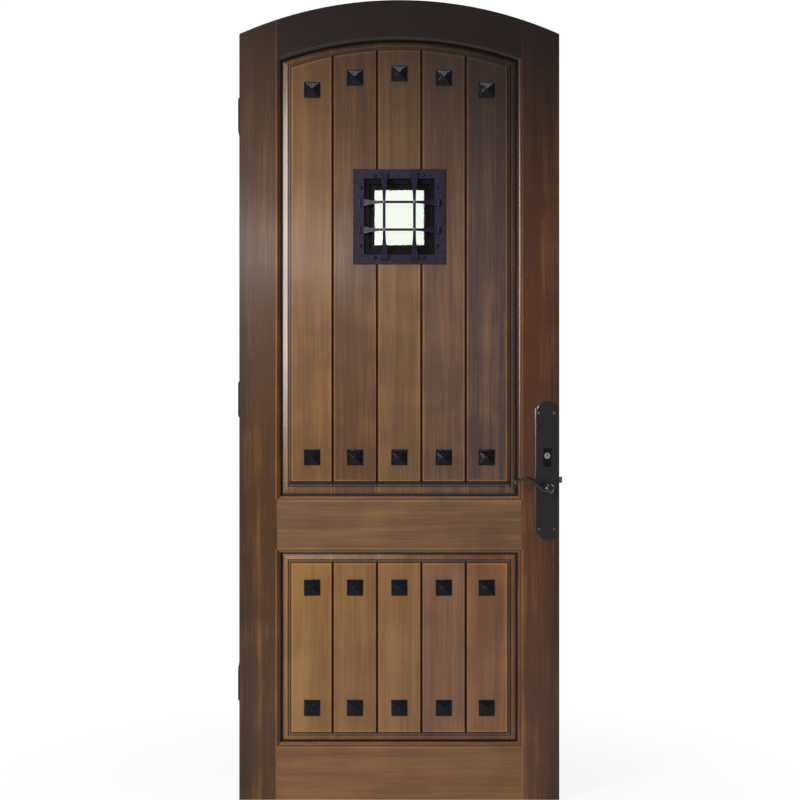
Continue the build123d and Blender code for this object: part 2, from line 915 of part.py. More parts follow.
def upright_bar(x):
    origin = (x, -flange_face, window_height)
    side_plane = Plane(origin=origin, x_dir=(0, 0, 1), z_dir=(1, 0, 0))
    plan_plane = Plane(origin=origin, x_dir=(0, 0, 1), z_dir=(0, -1, 0))
    knee = level_bar_spacing / 2 + bar_knee
    return forged_bar(
        side_plane, plan_plane, upright_foot_end, knee, bar_rise + bar_thickness, upright_bar_width
    )


def level_bar(z):
    origin = (0, -flange_face, window_height + z)
    side_plane = Plane(origin=origin, x_dir=(1, 0, 0), z_dir=(0, 0, -1))
    plan_plane = Plane(origin=origin, x_dir=(1, 0, 0), z_dir=(0, -1, 0))
    knee = upright_bar_spacing / 2 + bar_knee
    return forged_bar(side_plane, plan_plane, level_foot_end, knee, bar_rise, level_bar_width)


save(upright_bar(-upright_bar_spacing / 2), "grille_bar_left")
save(upright_bar(upright_bar_spacing / 2), "grille_bar_right")
save(level_bar(-level_bar_spacing / 2), "grille_bar_lower")
save(level_bar(level_bar_spacing / 2), "grille_bar_upper")

# Rivets through the crossings
crossing_face = flange_face + bar_rise + 2 * bar_thickness
with BuildPart() as grille_rivets:
    with Locations(*places([outside_at(x, z, crossing_face) for x, z in bar_crossings])):
        add(round_nail(grille_rivet_head, grille_rivet_crown, grille_rivet_radius, 2 * bar_thickness))
save(grille_rivets, "grille_rivets")

# Glazing frame: a stepped box behind the flange, open to the inside for the glass
sight_width = flange_opening_width - 2 * (glazing_step_width + glazing_second_width)
sight_tall = flange_opening_tall - 2 * (glazing_step_width + glazing_second_width)
first_tread = field - glazing_step_depth
second_tread = first_tread - glazing_second_depth
rebate_width = sight_width + 2 * (glass_edge_cover + gasket_edge + glazing_fit)
rebate_tall = sight_tall + 2 * (glass_edge_cover + gasket_edge + glazing_fit)
rebate_floor = second_tread - sight_lip


def box_cut(width, tall, start, depth):
    """A rectangular pocket from the outer side, from start down to start - depth."""
    with BuildSketch(outside_at(0, window_height, start), mode=Mode.PRIVATE) as pocket:
        Rectangle(width, tall)
    extrude(pocket.sketch, amount=-depth, mode=Mode.SUBTRACT)


with BuildPart() as glazing_frame:
    with BuildSketch(outside_at(0, window_height, -field)):
        Rectangle(glazing_width, glazing_tall)
    extrude(amount=panel_thickness)
    box_cut(
        flange_opening_width - 2 * glazing_wall + 2 * glazing_lap,
        flange_opening_tall - 2 * glazing_wall + 2 * glazing_lap,
        field,
        field - first_tread,
    )
    box_cut(
        flange_opening_width - 2 * glazing_step_width,
        flange_opening_tall - 2 * glazing_step_width,
        first_tread,
        first_tread - second_tread,
    )
    box_cut(sight_width, sight_tall, second_tread, sight_lip)
    box_cut(rebate_width, rebate_tall, rebate_floor, rebate_floor + field)
save(glazing_frame, "glazing_frame")

# Gasket, a rubber channel round the pane
gasket_outer_width = rebate_width - 2 * glazing_fit
gasket_outer_tall = rebate_tall - 2 * glazing_fit
pane_width = gasket_outer_width - 2 * gasket_edge
pane_tall = gasket_outer_tall - 2 * gasket_edge
with BuildPart() as glass_gasket:
    with BuildSketch(outside_at(0, window_height, rebate_floor)):
        Rectangle(gasket_outer_width, gasket_outer_tall)
        Rectangle(
            gasket_outer_width - 2 * (gasket_edge + gasket_lip),
            gasket_outer_tall - 2 * (gasket_edge + gasket_lip),
            mode=Mode.SUBTRACT,
        )
    extrude(amount=-(glass_thickness + 2 * gasket_thickness))
    box_cut(pane_width, pane_tall, rebate_floor - gasket_thickness, glass_thickness)
save(glass_gasket, "glass_gasket")

with BuildPart() as glass_pane:
    with BuildSketch(outside_at(0, window_height, rebate_floor - gasket_thickness)):
        Rectangle(pane_width, pane_tall)
    extrude(amount=-glass_thickness)
save(glass_pane, "glass_pane")

# Inside trim: a frame screwed to the planks, with a lip that presses the glass
gasket_back = glass_thickness + 2 * gasket_thickness - rebate_floor
trim_opening_width = gasket_outer_width - 2 * (gasket_edge + gasket_lip)
trim_opening_tall = gasket_outer_tall - 2 * (gasket_edge + gasket_lip)
with BuildPart() as inside_trim:
    with BuildSketch(inside_at(0, window_height, field)):
        Rectangle(trim_width, trim_tall)
        Rectangle(trim_opening_width, trim_opening_tall, mode=Mode.SUBTRACT)
    extrude(amount=trim_thickness)
    chamfer(inside_trim.faces().sort_by(Axis.Y)[-1].outer_wire().edges(), plate_bevel)
    with BuildSketch(inside_at(0, window_height, field)):
        Rectangle(gasket_outer_width, gasket_outer_tall)
        Rectangle(trim_opening_width, trim_opening_tall, mode=Mode.SUBTRACT)
    extrude(amount=gasket_back - field)
    with Locations(*places(trim_screw_planes())):
        CounterSinkHole(screw_hole_radius, screw_sink_radius, trim_thickness + 1, screw_sink_angle)
save(inside_trim, "inside_trim")

with BuildPart() as inside_trim_screws:
    with Locations(*places(trim_screw_planes())):
        add(countersunk_screw(screw_length))
save(inside_trim_screws, "inside_trim_screws")


# Lock plates
def lock_plate(plane_at, screws):
    """A long plate with square shoulders and arched ends, on either face of the door."""
    lobe_half = plate_lobe_width / 2
    shoulder = plate_shoulder_height / 2
    with BuildPart() as plate:
        with BuildSketch(plane_at(lock_x, plate_centre_height, face)):
            Rectangle(plate_width, plate_shoulder_height)
            for end in (1, -1):
                with BuildLine():
                    ThreePointArc(
                        (-lobe_half, end * shoulder),
                        (0, end * (shoulder + plate_lobe_rise)),
                        (lobe_half, end * shoulder),
                    )
                    Line((lobe_half, end * shoulder), (-lobe_half, end * shoulder))
                make_face()
        extrude(amount=plate_thickness)
        front = max(plate.faces().filter_by(Axis.Y), key=lambda side: abs(side.center().Y))
        chamfer(front.outer_wire().edges(), plate_bevel_width, plate_bevel, reference=front)
        with Locations(*places([plane_at(lock_x, spindle_height, plate_face)])):
            Hole(neck_radius + neck_hole_fit, plate_thickness + 1)
        hole = cylinder_profile(outside_at(lock_x, cylinder_height, 0), cylinder_hole_fit)
        extrude(hole, amount=plate_face, both=True, mode=Mode.SUBTRACT)
        with Locations(*places(screws)):
            CounterSinkHole(screw_hole_radius, screw_sink_radius, plate_thickness + 1, screw_sink_angle)
    return plate


outside_screws, inside_screws = plate_screw_planes()
save(lock_plate(outside_at, outside_screws), "outside_plate")
save(lock_plate(inside_at, inside_screws), "inside_plate")

for name, planes in (("outside", outside_screws), ("inside", inside_screws)):
    with BuildPart() as plate_screws:
        with Locations(*places(planes)):
            add(countersunk_screw(screw_length, brass_screw_crown))
    save(plate_screws, f"{name}_plate_screws")

# Pads that cover the lower part of the cylinder on both plates
with BuildPart() as cylinder_pads:
    for plane_at in (outside_at, inside_at):
        with BuildSketch(plane_at(lock_x, cylinder_height, plate_face)):
            with Locations((0, -pad_drop)):
                RectangleRounded(pad_width, pad_height, pad_corner)
            Circle(cylinder_radius + cylinder_hole_fit, mode=Mode.SUBTRACT)
        extrude(amount=pad_thickness)
save(cylinder_pads, "cylinder_pads")

# Cylinder body: a round barrel with a web below, cut through in the middle for the cam
cylinder_face = pad_face + cylinder_proud
with BuildPart() as key_cylinder:
    profile = cylinder_profile(outside_at(lock_x, cylinder_height, 0), 0)
    extrude(profile, amount=plate_face, both=True)
    with BuildSketch(outside_at(lock_x, cylinder_height, 0)):
        Circle(cylinder_radius)
    extrude(amount=cylinder_face, both=True)
    with BuildSketch(outside_at(lock_x, cylinder_height, 0)):
        Circle(cylinder_plug_radius + plug_fit)
    extrude(amount=cylinder_face, both=True, mode=Mode.SUBTRACT)
    with BuildSketch(outside_at(lock_x, cylinder_height, 0)):
        Rectangle(4 * cam_reach, 2 * cam_gap_drop)
    extrude(amount=cam_gap / 2, both=True, mode=Mode.SUBTRACT)
save(key_cylinder, "key_cylinder")

# Plug that the key turns
cam_half = cam_gap / 2 - cam_fit
with BuildPart() as cylinder_plug:
    with BuildSketch(outside_at(lock_x, cylinder_height, cam_half)):
        Circle(cylinder_plug_radius)
    extrude(amount=cylinder_face - cam_half)
    with BuildSketch(outside_at(lock_x, cylinder_height, cylinder_face)):
        with Locations((0, keyway_width)):
            SlotOverall(keyway_height, keyway_width, rotation=90)
    extrude(amount=-keyway_depth, mode=Mode.SUBTRACT)
save(cylinder_plug, "cylinder_plug")

# Cam between the plug and the thumb turn, its lobe up and away from the lock edge
with BuildPart() as cylinder_cam:
    with BuildSketch(outside_at(lock_x, cylinder_height, 0)):
        Circle(cam_radius)
        with Locations(Location((0, 0), 135)):
            Rectangle(cam_reach, cam_lobe_width, align=(Align.MIN, Align.CENTER))
    extrude(amount=cam_half, both=True)
save(cylinder_cam, "cylinder_cam")

# Thumb turn on the inside
with BuildPart() as thumb_turn:
    with BuildSketch(inside_at(lock_x, cylinder_height, cam_half)):
        Circle(cylinder_plug_radius)
    extrude(amount=cylinder_face - cam_half)
    with BuildSketch(inside_at(lock_x, cylinder_height, cylinder_face)):
        Circle(cylinder_radius)
    extrude(amount=thumb_neck_length)
    with BuildSketch(inside_at(lock_x, cylinder_height, cylinder_face + thumb_neck_length)):
        SlotOverall(thumb_grip_length, thumb_grip_width, rotation=90)
    extrude(amount=thumb_grip_depth)
    fillet(thumb_turn.faces().sort_by(Axis.Y)[-1].edges(), thumb_grip_width / 4)
save(thumb_turn, "thumb_turn")

# Square spindle
hub_back = face + lever_proud - hub_dome
with BuildPart() as spindle:
    with BuildSketch(outside_at(lock_x, spindle_height, 0)):
        Rectangle(spindle_width, spindle_width)
    extrude(amount=hub_back, both=True)
save(spindle, "spindle")


# Levers
def lever(plane_at, hand):
    """A lever with a domed hub, an S-shaped arm that thins towards its tip, and a ball end.

    The hub is turned about its own axis from the face of the door outwards.
    """
    hub_start = lever_proud - hub_dome
    with BuildPart(mode=Mode.PRIVATE) as hub:
        with BuildSketch(Plane.XZ):
            with BuildLine():
                Polyline(
                    (0, lever_proud + hub_dome),
                    (0, 0),
                    (neck_radius, 0),
                    (neck_radius, hub_start - hub_collar),
                    (hub_radius, hub_start),
                )
                ThreePointArc(
                    (hub_radius, hub_start),
                    (hub_radius + hub_bead / 4, hub_start + hub_bead / 2),
                    (hub_radius, hub_start + hub_bead),
                )
                dome(hub_radius, 2 * hub_dome - hub_bead, hub_start + hub_bead)
            make_face()
        revolve(axis=Axis.Z)
    arm_plane = plane_at(lock_x, spindle_height, face + hub_start + hub_bead)
    with BuildLine(arm_plane) as arm:
        low = JernArc((0, -lever_start_drop), (-hand, 0), lever_low_radius, -hand * lever_low_turn)
        rise = PolarLine(low @ 1, lever_straight, direction=low % 1)
        JernArc(rise @ 1, rise % 1, lever_high_radius, hand * lever_high_turn)
    path = Wire(arm.line.edges())
    sections = []
    for station in range(lever_stations + 1):
        along = station / lever_stations
        across = Plane(origin=path.position_at(along), x_dir=(0, 1, 0), z_dir=path.tangent_at(along))
        with BuildSketch(across) as section:
            Circle(lever_root_radius + (lever_tip_radius - lever_root_radius) * along)
        sections.append(section.sketch)
    with BuildPart() as handle:
        with Locations(plane_at(lock_x, spindle_height, face).location):
            add(hub.part)
        loft(sections)
        with Locations(across.location):
            Sphere(lever_ball_radius)
        side = spindle_width + 2 * spindle_fit
        with BuildSketch(plane_at(lock_x, spindle_height, 0)):
            Rectangle(side, side)
        extrude(amount=hub_back + spindle_fit, mode=Mode.SUBTRACT)
    return handle


save(lever(outside_at, 1), "outside_lever")
save(lever(inside_at, -1), "inside_lever")

# Lock case, a steel box in the stile with openings for the spindle, the cylinder and the bolts
latch_middle = spindle_height + latch_centre_rise
deadbolt_low = cylinder_height + deadbolt_rise
deadbolt_middle = deadbolt_low + deadbolt_height / 2


def bolt_openings(depth_start, depth):
    """Cuts the two rectangular bolt holes from the lock edge side."""
    thick = bolt_thickness + 2 * bolt_hole_fit
    with BuildSketch(edge_at(depth_start, 0, 0, 1), mode=Mode.PRIVATE) as openings:
        with Locations((0, latch_middle)):
            Rectangle(thick, latch_height + 2 * bolt_hole_fit)
        with Locations((0, deadbolt_middle)):
            Rectangle(thick, deadbolt_height + 2 * bolt_hole_fit)
    extrude(openings.sketch, amount=-depth, mode=Mode.SUBTRACT)


with BuildPart() as lock_case:
    with Locations((case_front, 0, case_middle)):
        Box(case_depth, case_thickness, case_height, align=(Align.MAX, Align.CENTER, Align.CENTER))
    with Locations((case_front - case_wall, 0, case_middle)):
        Box(
            case_depth - 2 * case_wall,
            case_thickness - 2 * case_wall,
            case_height - 2 * case_wall,
            align=(Align.MAX, Align.CENTER, Align.CENTER),
            mode=Mode.SUBTRACT,
        )
    bolt_openings(case_front, case_wall)
    with Locations((lock_x, 0, spindle_height)):
        Cylinder(follower_radius + follower_fit, leaf_thickness, rotation=(90, 0, 0), mode=Mode.SUBTRACT)
    case_hole = cylinder_profile(outside_at(lock_x, cylinder_height, 0), cylinder_hole_fit)
    extrude(case_hole, amount=face, both=True, mode=Mode.SUBTRACT)
save(lock_case, "lock_case")

with BuildPart() as faceplate:
    extrude(faceplate_outline(edge_at(half_width, 0, 0, 1), 0), amount=-faceplate_thickness)
    bolt_openings(half_width, faceplate_thickness)
    with Locations(*places(faceplate_screw_planes())):
        CounterSinkHole(screw_hole_radius, screw_sink_radius, faceplate_thickness + 1, screw_sink_angle)
save(faceplate, "faceplate")

with BuildPart() as faceplate_screws:
    with Locations(*places(faceplate_screw_planes())):
        add(countersunk_screw(screw_length))
save(faceplate_screws, "faceplate_screws")

# Follower that the spindle turns; its arm draws the latch back
with BuildPart() as lock_follower:
    with BuildSketch(outside_at(lock_x, spindle_height, 0)):
        Circle(follower_radius)
    extrude(amount=case_thickness / 2, both=True)
    with BuildSketch(outside_at(lock_x, spindle_height, 0)):
        Rectangle(follower_arm_width, follower_arm_reach, align=(Align.CENTER, Align.MIN))
    extrude(amount=follower_arm_thickness / 2, both=True)
    with BuildSketch(outside_at(lock_x, spindle_height, 0)):
        Rectangle(spindle_width + 2 * spindle_fit, spindle_width + 2 * spindle_fit)
    extrude(amount=case_thickness, both=True, mode=Mode.SUBTRACT)
save(lock_follower, "lock_follower")

# Latch bolt, bevelled on its outdoor side, with a tail and lug behind the follower's arm
lug_front = lock_x - follower_arm_width / 2 - latch_lug_gap
latch_nose = half_width + latch_proud
with BuildPart() as latch_bolt:
    with BuildSketch(Plane.XY.offset(latch_middle - latch_height / 2)):
        nose_back = latch_nose - bolt_thickness
        half_bolt = bolt_thickness / 2
        with BuildLine():
            Polyline(
                (nose_back, -half_bolt),
                (latch_nose - latch_head_length, -half_bolt),
                (latch_nose - latch_head_length, half_bolt),
                (latch_nose, half_bolt),
                (latch_nose, half_bolt - latch_nose_land),
                close=True,
            )
        make_face()
    extrude(amount=latch_height)
    with BuildSketch(Plane.XZ):
        tail_middle = spindle_height + latch_tail_rise + latch_tail_height / 2
        with Locations((latch_nose - latch_head_length, tail_middle)):
            Rectangle(
                latch_nose - latch_head_length - lug_front + latch_lug_width,
                latch_tail_height,
                align=(Align.MAX, Align.CENTER),
            )
        with Locations((lug_front, tail_middle)):
            Rectangle(
                latch_lug_width, latch_lug_drop + latch_tail_height, align=(Align.MAX, Align.MAX)
            )
    extrude(amount=follower_arm_thickness / 2, both=True)
save(latch_bolt, "latch_bolt")

# Deadbolt, drawn back, with a notch in its underside for the cam
with BuildPart() as deadbolt:
    with Locations((half_width - deadbolt_set_in, 0, deadbolt_middle)):
        Box(
            deadbolt_length,
            bolt_thickness,
            deadbolt_height,
            align=(Align.MAX, Align.CENTER, Align.CENTER),
        )
    with Locations((lock_x - deadbolt_travel / 2, 0, deadbolt_low)):
        Box(
            deadbolt_notch_width,
            bolt_thickness,
            deadbolt_notch_height,
            align=(Align.CENTER, Align.CENTER, Align.MIN),
            mode=Mode.SUBTRACT,
        )
save(deadbolt, "deadbolt")


# Butt hinges. Both plates lie flat on the door's edge and on the jamb, with a small gap between.
knuckle_height = hinge_height / hinge_knuckles


def hinge_leaf(z, side, knuckles):
    """One half of a hinge: side 1 is let into the door's edge and -1 goes on the jamb."""
    plate_x = door_plate_x if side == 1 else jamb_plate_x
    inner = hinge_axis_y - knuckle_radius - knuckle_clearance
    outer = hinge_axis_y - hinge_plate_reach
    face_x = plate_x + side * hinge_plate_thickness
    with BuildPart() as leaf:
        with BuildSketch(Plane(origin=(plate_x, 0, z), x_dir=(0, 1, 0), z_dir=(1, 0, 0))) as plate:
            with Locations(((inner + outer) / 2, 0)):
                Rectangle(inner - outer, hinge_height)
            fillet(plate.vertices().group_by(Axis.X)[0], hinge_plate_corner)
        extrude(amount=side * hinge_plate_thickness)
        for knuckle in knuckles:
            low = z - hinge_height / 2 + knuckle * knuckle_height
            start = low + (knuckle_gap / 2 if knuckle > 0 else 0)
            stop = low + knuckle_height - (knuckle_gap / 2 if knuckle < hinge_knuckles - 1 else 0)
            with BuildSketch(Plane.XY.offset(start)):
                with Locations((hinge_axis_x, hinge_axis_y)):
                    Circle(knuckle_radius)
                with Locations(((plate_x + face_x) / 2, inner)):
                    Rectangle(
                        hinge_plate_thickness, hinge_axis_y - inner, align=(Align.CENTER, Align.MIN)
                    )
            extrude(amount=stop - start)
        with Locations((hinge_axis_x, hinge_axis_y, z)):
            Cylinder(hinge_pin_radius + hinge_pin_fit, 2 * hinge_height, mode=Mode.SUBTRACT)
        sinks = [
            edge_at(plate_x, hinge_axis_y - reach, z + up, -side) for reach, up in hinge_screw_points()
        ]
        hole = screw_hole_radius if side == 1 else jamb_screw_hole_radius
        with Locations(*places(sinks)):
            CounterSinkHole(hole, screw_sink_radius, hinge_plate_thickness + 1, screw_sink_angle)
    return leaf


def hinge_pin(z):
    """A loose pin with a button head on top of the knuckles."""
    with BuildPart() as pin:
        with Locations((hinge_axis_x, hinge_axis_y, z)):
            Cylinder(hinge_pin_radius, hinge_height)
        with Locations((hinge_axis_x, hinge_axis_y, z + hinge_height / 2)):
            Cylinder(
                hinge_pin_head_radius,
                hinge_pin_head_height,
                align=(Align.CENTER, Align.CENTER, Align.MIN),
            )
        crown = pin.faces().sort_by(Axis.Z)[-1].edges()
        chamfer(crown, hinge_pin_head_height / 3)
    return pin


jamb_knuckles = range(0, hinge_knuckles, 2)
door_knuckles = range(1, hinge_knuckles, 2)
for name, z in hinge_heights().items():
    save(hinge_leaf(z, 1, door_knuckles), f"{name}_hinge_door_leaf")
    save(hinge_leaf(z, -1, jamb_knuckles), f"{name}_hinge_jamb_leaf")
    save(hinge_pin(z), f"{name}_hinge_pin")

with BuildPart() as hinge_screws:
    with Locations(*places(door_screw_planes())):
        add(countersunk_screw(screw_length))
save(hinge_screws, "hinge_screws")
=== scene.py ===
import bmesh
import bpy
import math
import random
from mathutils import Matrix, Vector


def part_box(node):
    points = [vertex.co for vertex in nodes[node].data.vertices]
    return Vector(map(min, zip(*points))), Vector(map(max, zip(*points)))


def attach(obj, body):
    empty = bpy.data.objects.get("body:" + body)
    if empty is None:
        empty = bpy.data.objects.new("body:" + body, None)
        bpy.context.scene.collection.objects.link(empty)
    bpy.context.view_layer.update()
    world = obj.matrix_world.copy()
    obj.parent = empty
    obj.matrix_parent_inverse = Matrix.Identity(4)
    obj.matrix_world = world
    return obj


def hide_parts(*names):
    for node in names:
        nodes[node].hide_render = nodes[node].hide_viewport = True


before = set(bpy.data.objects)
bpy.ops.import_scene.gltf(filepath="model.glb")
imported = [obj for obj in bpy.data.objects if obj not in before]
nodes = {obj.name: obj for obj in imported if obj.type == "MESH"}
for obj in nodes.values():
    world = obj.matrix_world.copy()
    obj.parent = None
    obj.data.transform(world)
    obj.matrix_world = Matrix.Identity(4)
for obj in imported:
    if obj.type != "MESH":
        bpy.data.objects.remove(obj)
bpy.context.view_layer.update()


# Stiles and rails: alder boards planed, joined and stained dark brown, then rubbed back with a rag and
# lacquered satin. Painted shade darkens the hollows of the mouldings, and the stain is rubbed thin along the
# arrises.
def linear(hex_colour):
    """An sRGB hex colour as the linear values that a socket takes."""
    channels = [int(hex_colour[i : i + 2], 16) / 255 for i in (1, 3, 5)]
    return [c / 12.92 if c <= 0.04045 else ((c + 0.055) / 1.055) ** 2.4 for c in channels] + [1.0]


def add(tree, kind, sockets=None, **settings):
    """Adds a node to a tree with its settings, and the values and links of its sockets."""
    node = tree.nodes.new(kind)
    for name, value in settings.items():
        setattr(node, name, value)
    for name, value in (sockets or {}).items():
        if isinstance(value, bpy.types.NodeSocket):
            tree.links.new(value, node.inputs[name])
        else:
            node.inputs[name].default_value = value
    return node


def new_material(name):
    """A new material, with its node tree and the shader of its surface."""
    material = bpy.data.materials.new(name)
    material.use_nodes = True
    tree = material.node_tree
    return material, tree, tree.nodes["Principled BSDF"]


# The arches of the leaf share one centre, at this height on its middle line.
arch_centre = 1.16


def distance_to(tree, split, sides=(), levels=(), arch=None, joined=None):
    """The distance in metres from the nearest of these lines: upright ones at X = +-side, level ones at
    Z = level, and the arch of this radius. joined is the middle height and half the width of a rail that
    ends there, which has no line beside it."""
    across = add(tree, "ShaderNodeMath", {0: split.outputs["X"]}, operation="ABSOLUTE").outputs[0]
    gaps = [add(tree, "ShaderNodeMath", {0: across, 1: side}, operation="SUBTRACT") for side in sides]
    for level in levels:
        gaps.append(add(tree, "ShaderNodeMath", {0: split.outputs["Z"], 1: level}, operation="SUBTRACT"))
    if arch:
        up = add(tree, "ShaderNodeMath", {0: split.outputs["Z"], 1: arch_centre}, operation="SUBTRACT")
        run = add(tree, "ShaderNodeCombineXYZ", {0: split.outputs["X"], 2: up.outputs[0]})
        reach = add(tree, "ShaderNodeVectorMath", {0: run.outputs[0]}, operation="LENGTH")
        gaps.append(add(tree, "ShaderNodeMath", {0: reach.outputs["Value"], 1: arch}, operation="SUBTRACT"))
    nearest = None
    for gap in gaps:
        away = add(tree, "ShaderNodeMath", {0: gap.outputs[0]}, operation="ABSOLUTE").outputs[0]
        if nearest is not None:
            away = add(tree, "ShaderNodeMath", {0: nearest, 1: away}, operation="MINIMUM").outputs[0]
        nearest = away
    if joined:
        middle, half_width = joined
        up = add(tree, "ShaderNodeMath", {0: split.outputs["Z"], 1: middle}, operation="SUBTRACT")
        up = add(tree, "ShaderNodeMath", {0: up.outputs[0]}, operation="ABSOLUTE")
        inside = add(tree, "ShaderNodeMath", {0: half_width, 1: up.outputs[0]}, operation="SUBTRACT")
        nearest = add(tree, "ShaderNodeMath", {0: nearest, 1: inside.outputs[0]}, operation="MAXIMUM")
        nearest = nearest.outputs[0]
    return nearest


def stained_alder(name, grain, shift, stain, edges, hollow_shade, darkening_and_shade, shadow_line=0.0, joints=None):
    """Alder with its grain along one axis, and shift to give each board its own figure.

    stain is the board's tone. edges are the rubbed arrises, as distance_to takes them. hollow_shade gives
    the share of painted shade at each depth in millimetres from the middle of the leaf, and shadow_line the
    height of a painted shadow line under a field's foot. darkening_and_shade is the height where the
    darkening begins, how much it leans to the right as painted shade, and the height over which it grows.
    joints is the spacing of the planks' V-joints and half the width of one.
    """
    material, tree, surface = new_material(name)
    surface.inputs["Specular IOR Level"].default_value = 0.25
    surface.inputs["Coat Weight"].default_value = 0.35
    surface.inputs["Coat Roughness"].default_value = 0.2
    place = add(tree, "ShaderNodeTexCoord").outputs["Object"]
    split = add(tree, "ShaderNodeSeparateXYZ", {0: place})
    # The figure of alder is about 40 mm wide, and the stain takes in blotches of about 140 mm. The fibre
    # is drawn 5 mm wide, the finest that shows.
    figure_width, fibre_width, blotches_per_metre = 0.04, 0.005, 7.0
    long_grain = {"Z": (1, 1, 0.03), "X": (0.03, 1, 1)}[grain]
    board = add(tree, "ShaderNodeMapping", {"Vector": place, "Location": shift, "Scale": long_grain})
    figure_look = {"Scale": 1 / figure_width, "Detail": 2.0, "Roughness": 0.5, "Distortion": 0.6}
    figure = add(tree, "ShaderNodeTexNoise", {"Vector": board.outputs[0], **figure_look})
    fibre_look = {"Scale": 1 / fibre_width, "Detail": 3.0, "Roughness": 0.6}
    fibre = add(tree, "ShaderNodeTexNoise", {"Vector": board.outputs[0], **fibre_look})
    moved = add(tree, "ShaderNodeMapping", {"Vector": place, "Location": shift})
    blotch = add(tree, "ShaderNodeTexNoise", {"Vector": moved.outputs[0], "Scale": blotches_per_metre})
    patchy = blotch.outputs["Fac"]
    streak = add(
        tree,
        "ShaderNodeMix",
        {0: 0.45, 2: figure.outputs["Fac"], 3: fibre.outputs["Fac"]},
        data_type="FLOAT",
    )
    streak = add(tree, "ShaderNodeMix", {0: 0.3, 2: streak.outputs[0], 3: patchy}, data_type="FLOAT")
    dark = add(
        tree,
        "ShaderNodeMapRange",
        {"Value": streak.outputs[0], "From Min": 0.52, "From Max": 0.38, "To Max": 0.42},
    )
    pale = add(
        tree,
        "ShaderNodeMapRange",
        {"Value": streak.outputs[0], "From Min": 0.5, "From Max": 0.66, "To Max": 0.2},
    )
    tone = add(
        tree,
        "ShaderNodeMix",
        {0: dark.outputs[0], 6: linear(stain), 7: linear("#a8978a")},
        data_type="RGBA",
        blend_type="MULTIPLY",
    )
    tone = add(
        tree,
        "ShaderNodeMix",
        {0: pale.outputs[0], 6: tone.outputs[2], 7: linear("#b5834f")},
        data_type="RGBA",
    )
    # The rag thins the stain to orange in a band about 3 mm wide beside each arris.
    bare_width, faded_width = 0.0008, 0.0036
    edge = distance_to(tree, split, *edges)
    if joints:
        spacing, half_joint = joints
        near = add(tree, "ShaderNodeMath", {0: split.outputs["X"], 1: spacing / 2}, operation="SUBTRACT")
        gap = add(tree, "ShaderNodeMath", {0: near.outputs[0], 1: spacing / 2}, operation="PINGPONG")
        lip = add(tree, "ShaderNodeMath", {0: gap.outputs[0], 1: half_joint}, operation="SUBTRACT")
        lip = add(tree, "ShaderNodeMath", {0: lip.outputs[0]}, operation="ABSOLUTE")
        edge = add(tree, "ShaderNodeMath", {0: edge, 1: lip.outputs[0]}, operation="MINIMUM").outputs[0]
    rubbed = add(
        tree,
        "ShaderNodeMapRange",
        {"Value": edge, "From Min": bare_width, "From Max": faded_width, "To Min": 0.75, "To Max": 0},
    )
    rubbed = add(tree, "ShaderNodeMath", {0: rubbed.outputs[0], 1: patchy}, operation="MULTIPLY")
    tone = add(
        tree,
        "ShaderNodeMix",
        {0: rubbed.outputs[0], 6: tone.outputs[2], 7: linear("#a06a35")},
        data_type="RGBA",
    )
    # Painted shade darkens the hollows by their depth from the middle of the leaf, up to this many
    # millimetres.
    shade_reach = 22.5
    depth = add(tree, "ShaderNodeMath", {0: split.outputs["Y"]}, operation="ABSOLUTE").outputs[0]
    deepness = add(tree, "ShaderNodeMapRange", {"Value": depth, "From Max": shade_reach / 1000})
    hollows = add(tree, "ShaderNodeValToRGB", {0: deepness.outputs[0]})
    stops = hollows.color_ramp.elements
    stops[1].color = (0, 0, 0, 1)
    for deep, shade_share in hollow_shade:
        stop = stops.new(deep / shade_reach) if deep else stops[0]
        stop.color = (shade_share, shade_share, shade_share, 1)
    painted_shade = hollows.outputs["Color"]
    # On a panel the painted shade also fills the floors of the V-joints, and a painted shadow line lies below
    # the upper field's foot, from this depth outwards.
    if joints or shadow_line:
        field_depth = 0.0138
        field = add(tree, "ShaderNodeMath", {0: depth, 1: field_depth}, operation="GREATER_THAN").outputs[0]
    if joints:
        full_floor, no_floor = 0.0012, 0.003
        floor = add(
            tree,
            "ShaderNodeMapRange",
            {"Value": gap.outputs[0], "From Min": full_floor, "From Max": no_floor, "To Min": 1, "To Max": 0},
        )
        floor = add(tree, "ShaderNodeMath", {0: floor.outputs[0], 1: field}, operation="MULTIPLY").outputs[0]
        painted_shade = add(tree, "ShaderNodeMath", {0: painted_shade, 1: floor}, operation="MAXIMUM").outputs[0]
    # Painted shadow: a dark line just below the upper field's foot, as if the riser above shaded it.
    if shadow_line:
        full_shadow_reach, end_shadow_reach = 0.0046, 0.0058
        low = add(tree, "ShaderNodeMath", {0: split.outputs["Z"], 1: shadow_line}, operation="SUBTRACT")
        low = add(tree, "ShaderNodeMath", {0: low.outputs[0]}, operation="ABSOLUTE")
        painted_shadow = add(
            tree,
            "ShaderNodeMapRange",
            {"Value": low.outputs[0], "From Min": full_shadow_reach, "From Max": end_shadow_reach, "To Min": 1, "To Max": 0},
        )
        painted_shadow = add(tree, "ShaderNodeMath", {0: painted_shadow.outputs[0], 1: field}, operation="MULTIPLY").outputs[0]
        painted_shade = add(tree, "ShaderNodeMath", {0: painted_shade, 1: painted_shadow}, operation="MAXIMUM").outputs[0]
    # The painted shade mixes the colour towards near-black.
    tone = add(tree, "ShaderNodeMix", {0: painted_shade, 6: tone.outputs[2], 7: linear("#140e11")}, data_type="RGBA")
